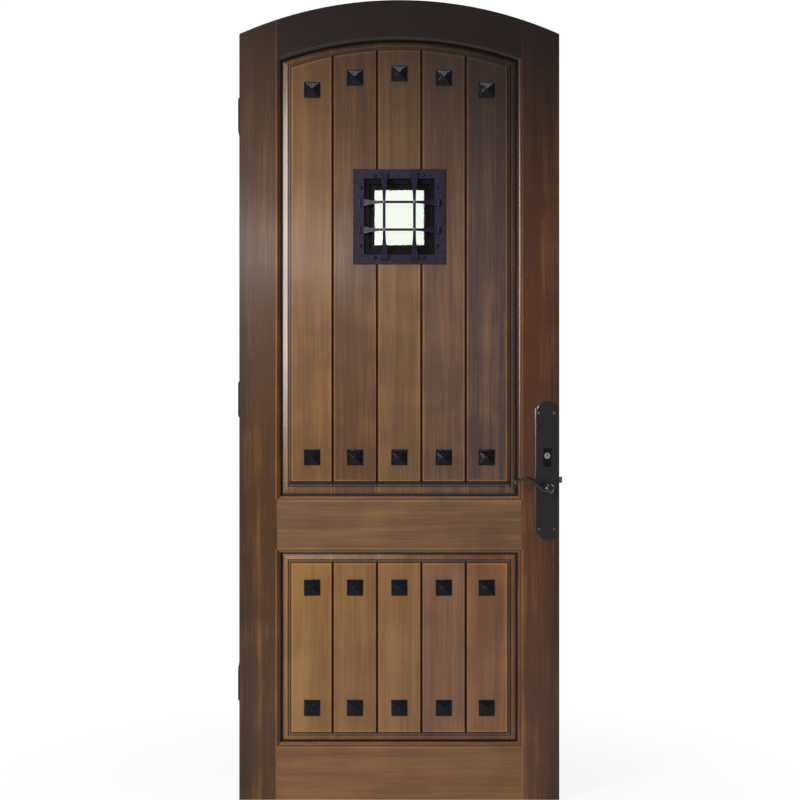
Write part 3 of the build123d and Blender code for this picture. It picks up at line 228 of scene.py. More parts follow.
    # Towards the head and the outer edges the colour darkens nearly to black. Leaning darker to the lock
    # side, it is also painted shade, as of light from the hinge side. The border of that sways with the
    # blotches.
    start, lean, span = darkening_and_shade
    sway = 0.3
    darkening_from, darkening_to = start + sway / 2, start + span + sway / 2
    slant = add(
        tree,
        "ShaderNodeMath",
        {0: split.outputs["X"], 1: lean, 2: split.outputs["Z"]},
        operation="MULTIPLY_ADD",
    )
    slant = add(
        tree,
        "ShaderNodeMath",
        {0: patchy, 1: sway, 2: slant.outputs[0]},
        operation="MULTIPLY_ADD",
    )
    head = add(
        tree,
        "ShaderNodeMapRange",
        {"Value": slant.outputs[0], "From Min": darkening_from, "From Max": darkening_to, "To Max": 0.97},
        interpolation_type="SMOOTHSTEP",
    )
    rim_from, rim_to = 0.4, 0.457
    across = add(tree, "ShaderNodeMath", {0: split.outputs["X"]}, operation="ABSOLUTE")
    rim = add(
        tree,
        "ShaderNodeMapRange",
        {"Value": across.outputs[0], "From Min": rim_from, "From Max": rim_to, "To Max": 0.55},
        interpolation_type="SMOOTHSTEP",
    )
    darkened_share = add(tree, "ShaderNodeMath", {0: head.outputs[0], 1: rim.outputs[0]}, operation="MAXIMUM")
    tone = add(
        tree,
        "ShaderNodeMix",
        {0: darkened_share.outputs[0], 6: tone.outputs[2], 7: linear("#120a08")},
        data_type="RGBA",
    )
    tree.links.new(tone.outputs[2], surface.inputs["Base Color"])
    rough = add(
        tree,
        "ShaderNodeMapRange",
        {"Value": streak.outputs[0], "From Min": 0.35, "From Max": 0.65, "To Min": 0.38, "To Max": 0.28},
    )
    tree.links.new(rough.outputs[0], surface.inputs["Roughness"])
    pores = {"Strength": 0.2, "Distance": 0.0004, "Height": fibre.outputs["Fac"]}
    relief = add(tree, "ShaderNodeBump", pores)
    tree.links.new(relief.outputs[0], surface.inputs["Normal"])
    return material


def finish_node(name, material):
    """Gives a carried-over solid its material."""
    for place in nodes[name].material_slots:
        place.material = material


# Shares of painted shade at depths in millimetres in the frame's mouldings.
moulding_hollow_shade = [(0, 1.0), (9.5, 0.95), (11.5, 0.3), (19.4, 0.1), (20.4, 0.7), (21.9, 0.1), (22.1, 0.0)]
# Where the colour darkens towards the head, how far that leans to the lock side as painted shade, and over
# what height.
head_darkening_and_shade = (1.43, 0.3, 0.95)
top_rail_darkening_and_shade = (1.15, 0.3, 0.8)
# Where the arrises of the frame lie: the stiles' to both sides, the rails' at these heights, and the
# arched rail's at this radius. The stiles have none where the lock rail is joined to them.
stile_arris = 0.3512
arch_arris = 1.0258
lock_rail_arrises = (0.718, 0.855)
bottom_rail_arris = 0.151
joined_middle, joined_half_width = 0.7865, 0.0745
stile_arrises = ((stile_arris,), (), None, (joined_middle, joined_half_width))
frame_finishes = {
    "hinge_stile": ("Z", (0.3, 0.1, 0), "#44280e", stile_arrises),
    "lock_stile": ("Z", (1.7, 0.4, 0), "#502e1c", stile_arrises),
    "arched_top_rail": ("X", (0.9, 0.2, 0.5), "#44280e", ((), (), arch_arris)),
    "lock_rail": ("X", (2.3, 0.7, 0.1), "#634833", ((), lock_rail_arrises)),
    "bottom_rail": ("X", (3.1, 0.2, 0.3), "#704b2c", ((), (bottom_rail_arris,))),
}
for member, (grain, shift, stain, arrises) in frame_finishes.items():
    title = "stained alder, " + member.replace("_", " ")
    darkening_and_shade = top_rail_darkening_and_shade if member == "arched_top_rail" else head_darkening_and_shade
    finish_node(member, stained_alder(title, grain, shift, stain, arrises, moulding_hollow_shade, darkening_and_shade))

# Planks: ten alder boards with tongues and grooves, one of them cut in two by the window, their ends
# and outer edges raised in two steps. Stained as the frame is, a little paler and each its own tone.
# Shares of painted shade at depths in millimetres in the planks' steps and V-joints.
step_hollow_shade = [(0, 1.0), (6.8, 0.95), (8.6, 0.25), (11.2, 0.15), (11.9, 0.75), (14.0, 0.6), (14.3, 0.35)]
step_hollow_shade += [(14.9, 0.9), (17.0, 0.8), (17.9, 0.0)]
# The planks darken towards the head too, leaning darker to the lock side as painted shade.
plank_darkening_and_shade = (1.5, 0.5, 1.0)
# The arrises of the panels' fields: both sides, then the upper field's foot and arch, and the lower
# field's foot and head. A painted shadow lies in a line just below the upper foot.
field_side = 0.3067
upper_foot, upper_arch = 0.912, 0.9815
lower_foot, lower_head = 0.1955, 0.6735
upper_arrises = ((field_side,), (upper_foot,), upper_arch)
lower_arrises = ((field_side,), (lower_foot, lower_head))
foot_shadow_line = 0.906
v_joints = (0.127, 0.0048)
plank_finishes = {
    "upper_plank_1": ("#694929", upper_arrises),
    "upper_plank_2": ("#553a26", upper_arrises),
    "upper_plank_3_above": ("#644930", upper_arrises),
    "upper_plank_3_below": ("#644930", upper_arrises),
    "upper_plank_4": ("#594134", upper_arrises),
    "upper_plank_5": ("#493834", upper_arrises),
    "lower_plank_1": ("#7e5a31", lower_arrises),
    "lower_plank_2": ("#765330", lower_arrises),
    "lower_plank_3": ("#785533", lower_arrises),
    "lower_plank_4": ("#6f4d39", lower_arrises),
    "lower_plank_5": ("#6e4931", lower_arrises),
}
for number, (plank, (stain, arrises)) in enumerate(plank_finishes.items()):
    title = "stained alder, " + plank.replace("_", " ")
    shift = (0.37 * number, 0.3, 0.11 * number)
    shadow_line = foot_shadow_line if plank.startswith("upper") else 0.0
    finish = stained_alder(title, "Z", shift, stain, arrises, step_hollow_shade, plank_darkening_and_shade, shadow_line, v_joints)
    finish_node(plank, finish)

# Dowels: turned beech pegs glued into the joints between rails and stiles, hidden inside the leaf.
# Bare wood, pale and dry, with a fine grain along the peg.
beech, peg_tree, peg = new_material("bare beech")
peg.inputs["Roughness"].default_value = 0.7
peg_place = add(peg_tree, "ShaderNodeTexCoord").outputs["Object"]
peg_run = add(peg_tree, "ShaderNodeMapping", {"Vector": peg_place, "Scale": (0.1, 1, 1)})
peg_grain = add(peg_tree, "ShaderNodeTexNoise", {"Vector": peg_run.outputs[0], "Scale": 400.0})
peg_tone = add(
    peg_tree,
    "ShaderNodeMix",
    {0: peg_grain.outputs["Fac"], 6: linear("#b08a5c"), 7: linear("#d2b182")},
    data_type="RGBA",
)
peg_tree.links.new(peg_tone.outputs[2], peg.inputs["Base Color"])
finish_node("frame_dowels", beech)


# Clavos: square iron nails with pyramid heads, forged by hand, blackened in oil and driven through the
# planks. Each head is hammered a little uneven and sits turned by a degree or so.
def forged_iron(name, deep, worn, shine, roughness, dent_size, dent_depth):
    """Iron under oil or paint: deep in the hollows and worn where it has rubbed off. shine is how much
    it reflects. dent_size is the width of a hammer mark in metres, and dent_depth how deep it is."""
    material, tree, surface = new_material(name)
    surface.inputs["Specular IOR Level"].default_value = shine
    place = add(tree, "ShaderNodeTexCoord").outputs["Object"]
    dents = add(tree, "ShaderNodeTexVoronoi", {"Vector": place, "Scale": 1 / dent_size}, feature="SMOOTH_F1")
    # Flakes of scale about 4 mm across.
    flakes_per_metre = 240.0
    scale_look = {"Scale": flakes_per_metre, "Detail": 4.0, "Roughness": 0.6}
    scale = add(tree, "ShaderNodeTexNoise", {"Vector": place, **scale_look}).outputs["Fac"]
    wear = add(tree, "ShaderNodeMapRange", {"Value": scale, "From Min": 0.4, "From Max": 0.66}).outputs[0]
    tone = add(tree, "ShaderNodeMix", {0: wear, 6: linear(deep), 7: linear(worn)}, data_type="RGBA")
    tree.links.new(tone.outputs[2], surface.inputs["Base Color"])
    rough = add(
        tree,
        "ShaderNodeMapRange",
        {"Value": wear, "To Min": roughness + 0.1, "To Max": roughness - 0.1},
    )
    tree.links.new(rough.outputs[0], surface.inputs["Roughness"])
    pits = add(tree, "ShaderNodeMix", {0: 0.35, 2: dents.outputs["Distance"], 3: scale}, data_type="FLOAT")
    relief = add(tree, "ShaderNodeBump", {"Strength": 0.6, "Distance": dent_depth, "Height": pits.outputs[0]})
    tree.links.new(relief.outputs[0], surface.inputs["Normal"])
    return material


def solids_of(node):
    """The lowest and highest corner of each separate solid of a carried-over node."""
    same_place = 1e-5
    copy = bmesh.new()
    copy.from_mesh(nodes[node].data)
    bmesh.ops.remove_doubles(copy, verts=copy.verts, dist=same_place)
    left, boxes = set(copy.verts), []
    while left:
        group = [left.pop()]
        for vertex in group:
            for edge in vertex.link_edges:
                other = edge.other_vert(vertex)
                if other in left:
                    left.remove(other)
                    group.append(other)
        low = Vector([min(v.co[i] for v in group) for i in range(3)])
        boxes.append((low, Vector([max(v.co[i] for v in group) for i in range(3)])))
    copy.free()
    return boxes


def in_scene(name, data):
    """A new object of the scene, which shows this mesh, lamp or camera."""
    thing = bpy.data.objects.new(name, data)
    bpy.context.scene.collection.objects.link(thing)
    return thing


def built(name, shape):
    """A shape that was built face by face, as an object of the scene."""
    mesh = bpy.data.meshes.new(name)
    shape.to_mesh(mesh)
    shape.free()
    return in_scene(name, mesh)


def set_inputs(modifier, values):
    """Gives the inputs of a modifier's tree these values, by their names."""
    for item in modifier.node_group.interface.items_tree:
        if item.in_out == "INPUT" and item.name in values:
            modifier[item.identifier] = values[item.name]


def spread_tree():
    """A tree that sets one head on every point, each turned a little about its own axis."""
    tree = bpy.data.node_groups.new("one head on each point", "GeometryNodeTree")
    for label, kind in (
        ("Points", "NodeSocketGeometry"),
        ("Head", "NodeSocketObject"),
        ("Turn", "NodeSocketVector"),
        ("Seed", "NodeSocketInt"),
        ("Finish", "NodeSocketMaterial"),
    ):
        tree.interface.new_socket(label, in_out="INPUT", socket_type=kind)
    tree.interface.new_socket("Heads", in_out="OUTPUT", socket_type="NodeSocketGeometry")
    given = add(tree, "NodeGroupInput").outputs
    head = add(tree, "GeometryNodeObjectInfo", {"Object": given["Head"]})
    chance = add(
        tree,
        "FunctionNodeRandomValue",
        {2: -1.0, 3: 1.0, "Seed": given["Seed"]},
        data_type="FLOAT",
    )
    turn = add(
        tree,
        "ShaderNodeVectorMath",
        {0: given["Turn"], "Scale": chance.outputs[1]},
        operation="SCALE",
    )
    heads = add(
        tree,
        "GeometryNodeInstanceOnPoints",
        {"Points": given["Points"], "Instance": head.outputs["Geometry"], "Rotation": turn.outputs[0]},
    )
    whole = add(tree, "GeometryNodeRealizeInstances", {0: heads.outputs[0]})
    finished = {"Geometry": whole.outputs[0], "Material": given["Finish"]}
    dressed = add(tree, "GeometryNodeSetMaterial", finished)
    add(tree, "NodeGroupOutput", {0: dressed.outputs[0]})
    return tree


one_on_each = spread_tree()


def spread(name, points, head, turn, seed, finish, replaced):
    """Heads at these points of the leaf, as one piece that takes the place of a plain node."""
    mesh = bpy.data.meshes.new(name + "_points")
    mesh.from_pydata([tuple(point) for point in points], [], [])
    carrier = in_scene(name + "_points", mesh)
    modifier = carrier.modifiers.new("heads", "NODES")
    modifier.node_group = one_on_each
    set_inputs(modifier, {"Head": head, "Turn": turn, "Seed": seed, "Finish": finish})
    evaluated = carrier.evaluated_get(bpy.context.evaluated_depsgraph_get())
    made = bpy.data.meshes.new_from_object(evaluated)
    made.name = name
    piece = in_scene(name, made)
    bpy.data.objects.remove(carrier)
    bpy.data.objects.remove(head)
    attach(piece, "door_leaf")
    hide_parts(replaced)


def clavo_head(width, rim, point, seed):
    """A pyramid head seen from outside, its base on the plank. It is built in square rings, so its four
    ridges run along the corners, and each ring is hammered off its place by up to 0.25 mm."""
    uneven = random.Random(seed)
    half = width / 2
    bevel, tip_half, step_up = 0.0007, 0.001, 0.0004
    slopes, per_side = 7, 6
    around = 4 * per_side
    crisp, hammered = 0.0001, 0.00025
    rings = [(half, 0.0), (half, rim * 0.75), (half - bevel, rim)]
    for k in range(1, slopes + 1):
        drawn_in = (half - bevel - tip_half) * k / slopes
        rings.append((half - bevel - drawn_in, rim + step_up + point * (k / slopes)))
    corners = ((-1, -1), (1, -1), (1, 1), (-1, 1))
    shape = bmesh.new()
    rows = []
    for number, (reach, height) in enumerate(rings):
        on_slope = 2 < number < len(rings) - 1
        row = []
        for corner in range(4):
            a, b = corners[corner], corners[(corner + 1) % 4]
            for k in range(per_side):
                x, z = (a[i] + (b[i] - a[i]) * k / per_side for i in (0, 1))
                loose = hammered if on_slope and k else crisp
                off = [uneven.uniform(-loose, loose) for _ in range(3)]
                row.append(shape.verts.new((x * reach + off[0], off[1] - height, z * reach + off[2])))
        rows.append(row)
    for inner, outer in zip(rows[1:], rows):
        for k in range(around):
            after = (k + 1) % around
            shape.faces.new((outer[k], outer[after], inner[after], inner[k]))
    tip = shape.faces.new(rows[-1])
    bmesh.ops.recalc_face_normals(shape, faces=shape.faces)
    if tip.normal.y > 0:
        bmesh.ops.reverse_faces(shape, faces=shape.faces)
    return built("clavo_head", shape)


oil_black = forged_iron("oil-blackened forged iron", "#030305", "#0d0f1b", 0.18, 0.24, 0.006, 0.0004)
clavo_width, clavo_rim, clavo_point = 0.0455, 0.003, 0.0125
clavo_turn = (0.0, 0.02, 0.0)
plank_face = -0.018
for row, seed in (("upper_clavos", 11), ("lower_clavos", 12)):
    seats = [(low + high) / 2 for low, high in solids_of(row)]
    seats = [(seat.x, plank_face, seat.z) for seat in seats]
    nail_head = clavo_head(clavo_width, clavo_rim, clavo_point, seed)
    spread(row + "_forged", seats, nail_head, clavo_turn, seed, oil_black, row)

# Grille: a flat forged flange nailed round the window, and four bars riveted where they cross, their
# feet flared by the hammer. Blackened iron gone violet where the fire scale shows.
flange_black = forged_iron("fire-scaled forged iron", "#191520", "#2e2738", 0.15, 0.38, 0.008, 0.0005)
finish_node("grille_flange", flange_black)
bar_black = forged_iron("hammered bar iron", "#16101f", "#2b213c", 0.12, 0.36, 0.006, 0.0005)
for piece in ("grille_bar_left", "grille_bar_right", "grille_bar_lower", "grille_bar_upper"):
    finish_node(piece, bar_black)
rivet_iron = forged_iron("rubbed rivet iron", "#3c3548", "#6c6380", 0.4, 0.34, 0.004, 0.0003)
finish_node("grille_rivets", rivet_iron)
finish_node("grille_nails", oil_black)

# Glazing frame: a folded and welded iron box that steps inwards to the glass, painted black, with a
# flat trim frame screwed on from indoors.
painted_iron = forged_iron("black-painted sheet iron", "#0a080c", "#131016", 0.08, 0.3, 0.02, 0.0002)
finish_node("glazing_frame", painted_iron)
finish_node("inside_trim", painted_iron)

# Pane: 6 mm float glass held in a moulded rubber channel. Clear, with the faint green of thick glass.
float_glass, pane_tree, pane = new_material("clear float glass")
pane.inputs["Transmission Weight"].default_value = 1.0
pane.inputs["IOR"].default_value = 1.45
pane.inputs["Roughness"].default_value = 0.0
pane_place = add(pane_tree, "ShaderNodeTexCoord").outputs["Object"]
draw_lines = add(pane_tree, "ShaderNodeTexNoise", {"Vector": pane_place, "Scale": 9.0, "Detail": 1.0})
pane_tint = add(
    pane_tree,
    "ShaderNodeMix",
    {0: draw_lines.outputs["Fac"], 6: linear("#f6ffee"), 7: linear("#f9fff4")},
    data_type="RGBA",
)
pane_tree.links.new(pane_tint.outputs[2], pane.inputs["Base Color"])
finish_node("glass_pane", float_glass)
channel_rubber, rubber_tree, rubber = new_material("moulded rubber")
rubber.inputs["Roughness"].default_value = 0.8
rubber_place = add(rubber_tree, "ShaderNodeTexCoord").outputs["Object"]
bloom = add(rubber_tree, "ShaderNodeTexNoise", {"Vector": rubber_place, "Scale": 120.0})
rubber_tone = add(
    rubber_tree,
    "ShaderNodeMix",
    {0: bloom.outputs["Fac"], 6: linear("#0f0f10"), 7: linear("#1d1d1e")},
    data_type="RGBA",
)
rubber_tree.links.new(rubber_tone.outputs[2], rubber.inputs["Base Color"])
finish_node("glass_gasket", channel_rubber)


# Putty: a bead of black glazing compound pressed by hand into the corner between the frame and the
# outside of the glass. Its edge is ragged.
def bead_tree():
    """A tree that draws a ragged bead round an opening."""
    tree = bpy.data.node_groups.new("ragged bead round an opening", "GeometryNodeTree")
    for label, kind, value in (
        ("Width", "NodeSocketFloat", 0.144),
        ("Height", "NodeSocketFloat", 0.16),
        ("Thickness", "NodeSocketFloat", 0.0014),
        ("Raggedness", "NodeSocketFloat", 0.008),
        ("Step", "NodeSocketFloat", 0.0018),
    ):
        tree.interface.new_socket(label, in_out="INPUT", socket_type=kind).default_value = value
    tree.interface.new_socket("Finish", in_out="INPUT", socket_type="NodeSocketMaterial")
    tree.interface.new_socket("Bead", in_out="OUTPUT", socket_type="NodeSocketGeometry")
    given = add(tree, "NodeGroupInput").outputs
    opening = {"Width": given["Width"], "Height": given["Height"]}
    path = add(tree, "GeometryNodeCurvePrimitiveQuadrilateral", opening)
    fine = add(
        tree,
        "GeometryNodeResampleCurve",
        {"Curve": path.outputs[0], "Length": given["Step"]},
        mode="LENGTH",
    )
    # Lumps about 6 mm long push the bead off its line, within the plane of the glass.
    lumps_per_metre = 170.0
    lumps = add(tree, "ShaderNodeTexNoise", {"Scale": lumps_per_metre, "Detail": 3.0, "Roughness": 0.7})
    off = add(
        tree,
        "ShaderNodeVectorMath",
        {0: lumps.outputs["Color"], 1: (0.5, 0.5, 0.5)},
        operation="SUBTRACT",
    )
    off = add(tree, "ShaderNodeVectorMath", {0: off.outputs[0], 1: (1.0, 1.0, 0.0)}, operation="MULTIPLY")
    off = add(
        tree,
        "ShaderNodeVectorMath",
        {0: off.outputs[0], "Scale": given["Raggedness"]},
        operation="SCALE",
    )
    ragged = add(tree, "GeometryNodeSetPosition", {"Geometry": fine.outputs[0], "Offset": off.outputs[0]})
    profile = add(tree, "GeometryNodeCurvePrimitiveCircle", {"Resolution": 8, "Radius": given["Thickness"]})
    swept = {"Curve": ragged.outputs[0], "Profile Curve": profile.outputs[0]}
    bead = add(tree, "GeometryNodeCurveToMesh", swept)
    whole = add(tree, "GeometryNodeRealizeInstances", {0: bead.outputs[0]})
    finished = {"Geometry": whole.outputs[0], "Material": given["Finish"]}
    dressed = add(tree, "GeometryNodeSetMaterial", finished)
    add(tree, "NodeGroupOutput", {0: dressed.outputs[0]})
    return tree


putty = forged_iron("black glazing compound", "#0c0b0e", "#1c1a20", 0.2, 0.6, 0.004, 0.0004)
bead_carrier = in_scene("bead_path", bpy.data.meshes.new("bead_path"))
bead_modifier = bead_carrier.modifiers.new("bead", "NODES")
bead_modifier.node_group = bead_tree()
set_inputs(bead_modifier, {"Finish": putty})
drawn_bead = bead_carrier.evaluated_get(bpy.context.evaluated_depsgraph_get())
bead_mesh = bpy.data.meshes.new_from_object(drawn_bead)
bead_mesh.name = "glazing_putty"
bpy.data.objects.remove(bead_carrier)
pane_low, pane_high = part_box("glass_pane")
window_middle = (Vector(pane_low) + Vector(pane_high)) / 2
bead_off_glass = 0.0015
for vertex in bead_mesh.vertices:
    x, z, deep = vertex.co
    vertex.co = (window_middle.x + x, pane_low[1] - bead_off_glass - deep, window_middle.z + z)
putty_bead = in_scene("glazing_putty", bead_mesh)
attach(putty_bead, "door_leaf")


# Lock plates, levers and thumb turn: cast bronze with a dark patina, waxed and buffed. It shines where
# hands and the buffing wheel reach.
def patinated_metal(name, deep, worn, metallic, roughness, cloud_size, lacquer=0.0):
    """A metal whose patina lies in clouds of that size in metres, from deep to worn, under a clear coat
    of that weight."""
    material, tree, surface = new_material(name)
    surface.inputs["Metallic"].default_value = metallic
    surface.inputs["Coat Weight"].default_value = lacquer
    surface.inputs["Coat Roughness"].default_value = 0.07
    place = add(tree, "ShaderNodeTexCoord").outputs["Object"]
    cloud_look = {"Scale": 1 / cloud_size, "Detail": 4.0}
    cloud = add(tree, "ShaderNodeTexNoise", {"Vector": place, **cloud_look}).outputs["Fac"]
    tone = add(tree, "ShaderNodeMix", {0: cloud, 6: linear(deep), 7: linear(worn)}, data_type="RGBA")
    tree.links.new(tone.outputs[2], surface.inputs["Base Color"])
    rough = add(
        tree,
        "ShaderNodeMapRange",
        {"Value": cloud, "To Min": roughness + 0.12, "To Max": roughness - 0.12},
    )
    tree.links.new(rough.outputs[0], surface.inputs["Roughness"])
    # Buffing grit leaves marks about 1 mm long.
    grit = add(tree, "ShaderNodeTexNoise", {"Vector": place, "Scale": 900.0, "Detail": 2.0}).outputs["Fac"]
    relief = add(tree, "ShaderNodeBump", {"Strength": 0.15, "Distance": 0.0001, "Height": grit})
    tree.links.new(relief.outputs[0], surface.inputs["Normal"])
    return material


plate_bronze = patinated_metal("dark patinated bronze plate", "#1a181d", "#262429", 0.35, 0.3, 0.02, 0.25)
finish_node("outside_plate", plate_bronze)
finish_node("inside_plate", plate_bronze)
lever_bronze = patinated_metal("buffed dark bronze", "#08080a", "#161517", 0.2, 0.2, 0.012, 0.5)
for piece in ("outside_lever", "inside_lever", "thumb_turn"):
    finish_node(piece, lever_bronze)
pad_casting = forged_iron("knurled black casting", "#030303", "#0e0e10", 0.2, 0.3, 0.0025, 0.0008)
finish_node("cylinder_pads", pad_casting)

# Key cylinder: machined brass, plated with satin nickel. It passes through the leaf between the two
# lock plates, and its plug turns in it.
nickel = patinated_metal("satin nickel plate", "#b9b7b0", "#dedcd5", 1.0, 0.28, 0.006)
finish_node("key_cylinder", nickel)
finish_node("cylinder_plug", nickel)


# Screws: raised brass heads on the lock plates, and flat steel heads in the trim, the faceplate and
# the hinges. Each has a sawn slot that ended where the screwdriver stopped.
def slotted_head(radius, crown, slot_width, slot_depth, facing, upward):
    """A domed head with a slot, its rim on the surface, built in rows along the slot."""
    steps = 6
    rim = radius * 0.985
    half_slot = slot_width / 2
    rows = [((rim - half_slot) * k / steps - rim, 0.0) for k in range(steps + 1)]
    rows += [(-half_slot, slot_depth), (half_slot, slot_depth)]
    rows += [(half_slot + (rim - half_slot) * k / steps, 0.0) for k in range(steps + 1)]
    across = facing.cross(upward)
    shape = bmesh.new()
    grid = []
    for v, cut in rows:
        reach = math.sqrt(radius**2 - v**2)
        line = []
        for k in range(2 * steps + 1):
            u = reach * (k / steps - 1)
            height = crown * (1 - (u**2 + v**2) / radius**2) - cut
            line.append(shape.verts.new(across * u + upward * v + facing * height))
        grid.append(line)
    for lower, upper in zip(grid, grid[1:]):
        for k in range(2 * steps):
            shape.faces.new((lower[k], lower[k + 1], upper[k + 1], upper[k]))
    # A skirt goes down all round, a little deeper than the slot.
    past_slot = 0.0002
    open_edges = [edge for edge in shape.edges if edge.is_boundary]
    skirt = bmesh.ops.extrude_edge_only(shape, edges=open_edges)["geom"]
    skirt = [part for part in skirt if isinstance(part, bmesh.types.BMVert)]
    bmesh.ops.translate(shape, verts=skirt, vec=facing * -(slot_depth + past_slot))
    bmesh.ops.recalc_face_normals(shape, faces=shape.faces)
    shape.faces.ensure_lookup_table()
    dome_face = shape.faces[40]
    if dome_face.normal.dot(facing) < 0:
        bmesh.ops.reverse_faces(shape, faces=shape.faces)
    return built("screw_head", shape)


def dress_screws(node, facing, crown, rise, finish, seed):
    """Slotted heads for the screws of one node. rise is how far a crown stands out of the flat head."""
    slot_width, slot_depth = 0.0011, 0.0008
    widest_turn = 3.1
    points = []
    for low, high in solids_of(node):
        outer = [high[i] if facing[i] > 0 else low[i] for i in range(3)]
        seat = Vector([outer[i] if facing[i] else (low[i] + high[i]) / 2 for i in range(3)])
        points.append(seat - facing * (crown - rise))
        radius = min((high[i] - low[i]) / 2 for i in range(3) if not facing[i])
    head = slotted_head(radius, crown, slot_width, slot_depth, facing, Vector((0, 0, 1)))
    turn = [widest_turn * abs(part) for part in facing]
    spread(node + "_slotted", points, head, turn, seed, finish, node)


aged_brass = patinated_metal("aged brass", "#40361f", "#77653c", 1.0, 0.38, 0.003)
zinc_steel = patinated_metal("zinc-plated steel", "#77797c", "#94969a", 0.9, 0.36, 0.02)
oxide_steel = patinated_metal("black oxide steel", "#1b1a1a", "#302e2d", 0.8, 0.4, 0.015)
outdoors, indoors = Vector((0, -1, 0)), Vector((0, 1, 0))
hinge_side, lock_side = Vector((-1, 0, 0)), Vector((1, 0, 0))
raised_crown, flat_crown, flat_rise = 0.0012, 0.0006, 0.0004
dress_screws("outside_plate_screws", outdoors, raised_crown, 0.0, aged_brass, 21)
dress_screws("inside_plate_screws", indoors, raised_crown, 0.0, aged_brass, 22)
dress_screws("inside_trim_screws", indoors, flat_crown, flat_rise, oil_black, 23)
dress_screws("faceplate_screws", lock_side, flat_crown, flat_rise, zinc_steel, 24)
dress_screws("hinge_screws", hinge_side, flat_crown, flat_rise, oxide_steel, 25)

# Lock: a stamped steel case let into the stile, with its faceplate, latch, deadbolt, follower, cam and
# spindle. Zinc-plated, dull grey with a faint clouding.
lock_pieces = ["lock_case", "faceplate", "latch_bolt", "deadbolt", "spindle", "lock_follower", "cylinder_cam"]
for piece in lock_pieces:
    finish_node(piece, zinc_steel)

# Hinges: three rolled steel butts, one plate let into the leaf's edge and one for the jamb, turning on
# loose pins. Black oxide, oiled.
for height in ("top", "middle", "bottom"):
    for piece in ("door_leaf", "jamb_leaf", "pin"):
        finish_node(f"{height}_hinge_{piece}", oxide_steel)

# Studio floor: pale paper that shows the door's shadow close to it and burns out to white further off,
# so that no horizon is seen. Reflections see it dimmed.
stage_paper, stage_tree, spare_shader = new_material("pale studio paper")
stage_tree.nodes.remove(spare_shader)
reflected_floor = 0.25
rays = add(stage_tree, "ShaderNodeLightPath").outputs
mirrored = {0: rays["Is Glossy Ray"], 1: reflected_floor}
dim_glossy = add(stage_tree, "ShaderNodeMath", mirrored, operation="MULTIPLY").outputs[0]
straight = {0: rays["Is Camera Ray"], 1: dim_glossy}
seen = add(stage_tree, "ShaderNodeMath", straight, operation="MAXIMUM").outputs[0]
through_glass = {0: seen, 1: rays["Is Transmission Ray"]}
seen = add(stage_tree, "ShaderNodeMath", through_glass, operation="MAXIMUM").outputs[0]
floor_place = add(stage_tree, "ShaderNodeTexCoord").outputs["Object"]
floor_reach = add(stage_tree, "ShaderNodeVectorMath", {0: floor_place}, operation="LENGTH")
burnt_out = add(
    stage_tree,
    "ShaderNodeMapRange",
    {"Value": floor_reach.outputs["Value"], "From Min": 0.5, "From Max": 1.5, "To Min": 0.86, "To Max": 1.0},
    interpolation_type="SMOOTHSTEP",
)
share = add(stage_tree, "ShaderNodeMath", {0: seen, 1: burnt_out.outputs[0]}, operation="MULTIPLY")
paper = add(stage_tree, "ShaderNodeBsdfDiffuse", {"Color": linear("#e8e8e6")})
glow = add(stage_tree, "ShaderNodeEmission", {"Color": (1, 1, 1, 1), "Strength": 1.0})
layers = {0: share.outputs[0], 1: paper.outputs[0], 2: glow.outputs[0]}
paper_mix = add(stage_tree, "ShaderNodeMixShader", layers)
stage_tree.links.new(paper_mix.outputs[0], stage_tree.nodes["Material Output"].inputs["Surface"])
floor_half, floor_height = 7, -0.002
floor_signs = ((-1, -1), (1, -1), (1, 1), (-1, 1))
floor_corners = [(x * floor_half, y * floor_half, floor_height) for x, y in floor_signs]
floor_mesh = bpy.data.meshes.new("studio_floor")
floor_mesh.from_pydata(floor_corners, [], [(0, 1, 2, 3)])
floor_mesh.materials.append(stage_paper)
studio_floor = in_scene("studio_floor", floor_mesh)

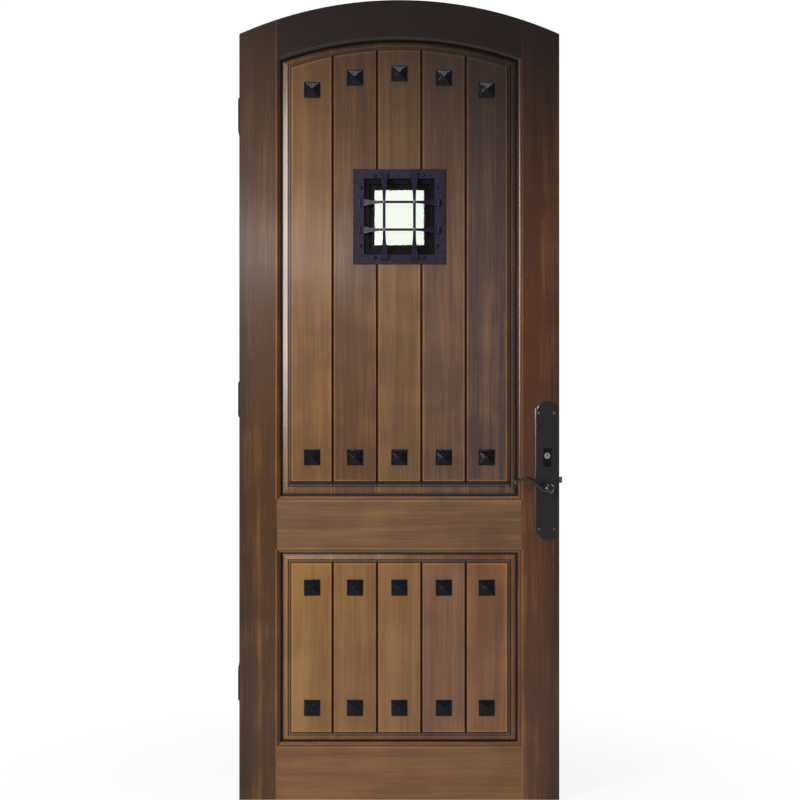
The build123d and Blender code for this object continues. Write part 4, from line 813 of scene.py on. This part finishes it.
# Studio light: white all round as seen directly and through the glass, and a dim room as it lights the
# door. A softbox stands at the left, two narrow strips hang above, and a fill lights the inside face.
world = bpy.data.worlds.new("studio sky")
bpy.context.scene.world = world
world.use_nodes = True
sky_tree = world.node_tree
sky = sky_tree.nodes["Background"]
sky.inputs["Color"].default_value = (1, 1, 1, 1)
dim_room = 0.28
sky_rays = add(sky_tree, "ShaderNodeLightPath")
sky_seen = add(
    sky_tree,
    "ShaderNodeMath",
    {0: sky_rays.outputs["Is Camera Ray"], 1: sky_rays.outputs["Is Transmission Ray"]},
    operation="MAXIMUM",
)
sky_range = {"Value": sky_seen.outputs[0], "To Min": dim_room, "To Max": 1.0}
sky_level = add(sky_tree, "ShaderNodeMapRange", sky_range)
sky_tree.links.new(sky_level.outputs[0], sky.inputs["Strength"])


def soft_lamp(name, place, target, width, height, watts):
    """A flat rectangular lamp that faces its target."""
    lamp = bpy.data.lights.new(name, "AREA")
    lamp.shape = "RECTANGLE"
    lamp.size = width
    lamp.size_y = height
    lamp.energy = watts
    holder = in_scene(name, lamp)
    holder.location = place
    holder.rotation_euler = (Vector(target) - Vector(place)).to_track_quat("-Z", "Y").to_euler()


soft_lamp("softbox_left", (-1.75, -2.1, 1.75), (0, 0, 1.2), 0.7, 1.4, 80)
soft_lamp("strip_overhead", (0, -0.45, 3.2), (0, 0, 0.9), 1.4, 0.2, 9)
soft_lamp("strip_above", (-0.62, -2.1, 1.8), (-0.3, 0, 1.2), 1.1, 0.2, 5.5)
soft_lamp("fill_behind", (1.2, 2.8, 2.0), (0, 0, 1.1), 2.0, 1.6, 60)

# Camera: 3.9 m in front of the door's face, 2 mm to the right and at half its height. The face then
# fills the picture from head to foot, as it does in the photograph.
distance, aside = 3.9, 0.002
door_height, door_face = 2.286, 0.0222
sensor_width = 36.0
camera_data = bpy.data.cameras.new("photo camera")
camera_data.sensor_width = sensor_width
camera_data.lens = sensor_width * distance / door_height
camera = in_scene("photo_camera", camera_data)
camera.location = (aside, -distance - door_face, door_height / 2)
camera.rotation_euler = (math.radians(90), 0, 0)
bpy.context.scene.camera = camera
bpy.context.scene.view_settings.view_transform = "Standard"
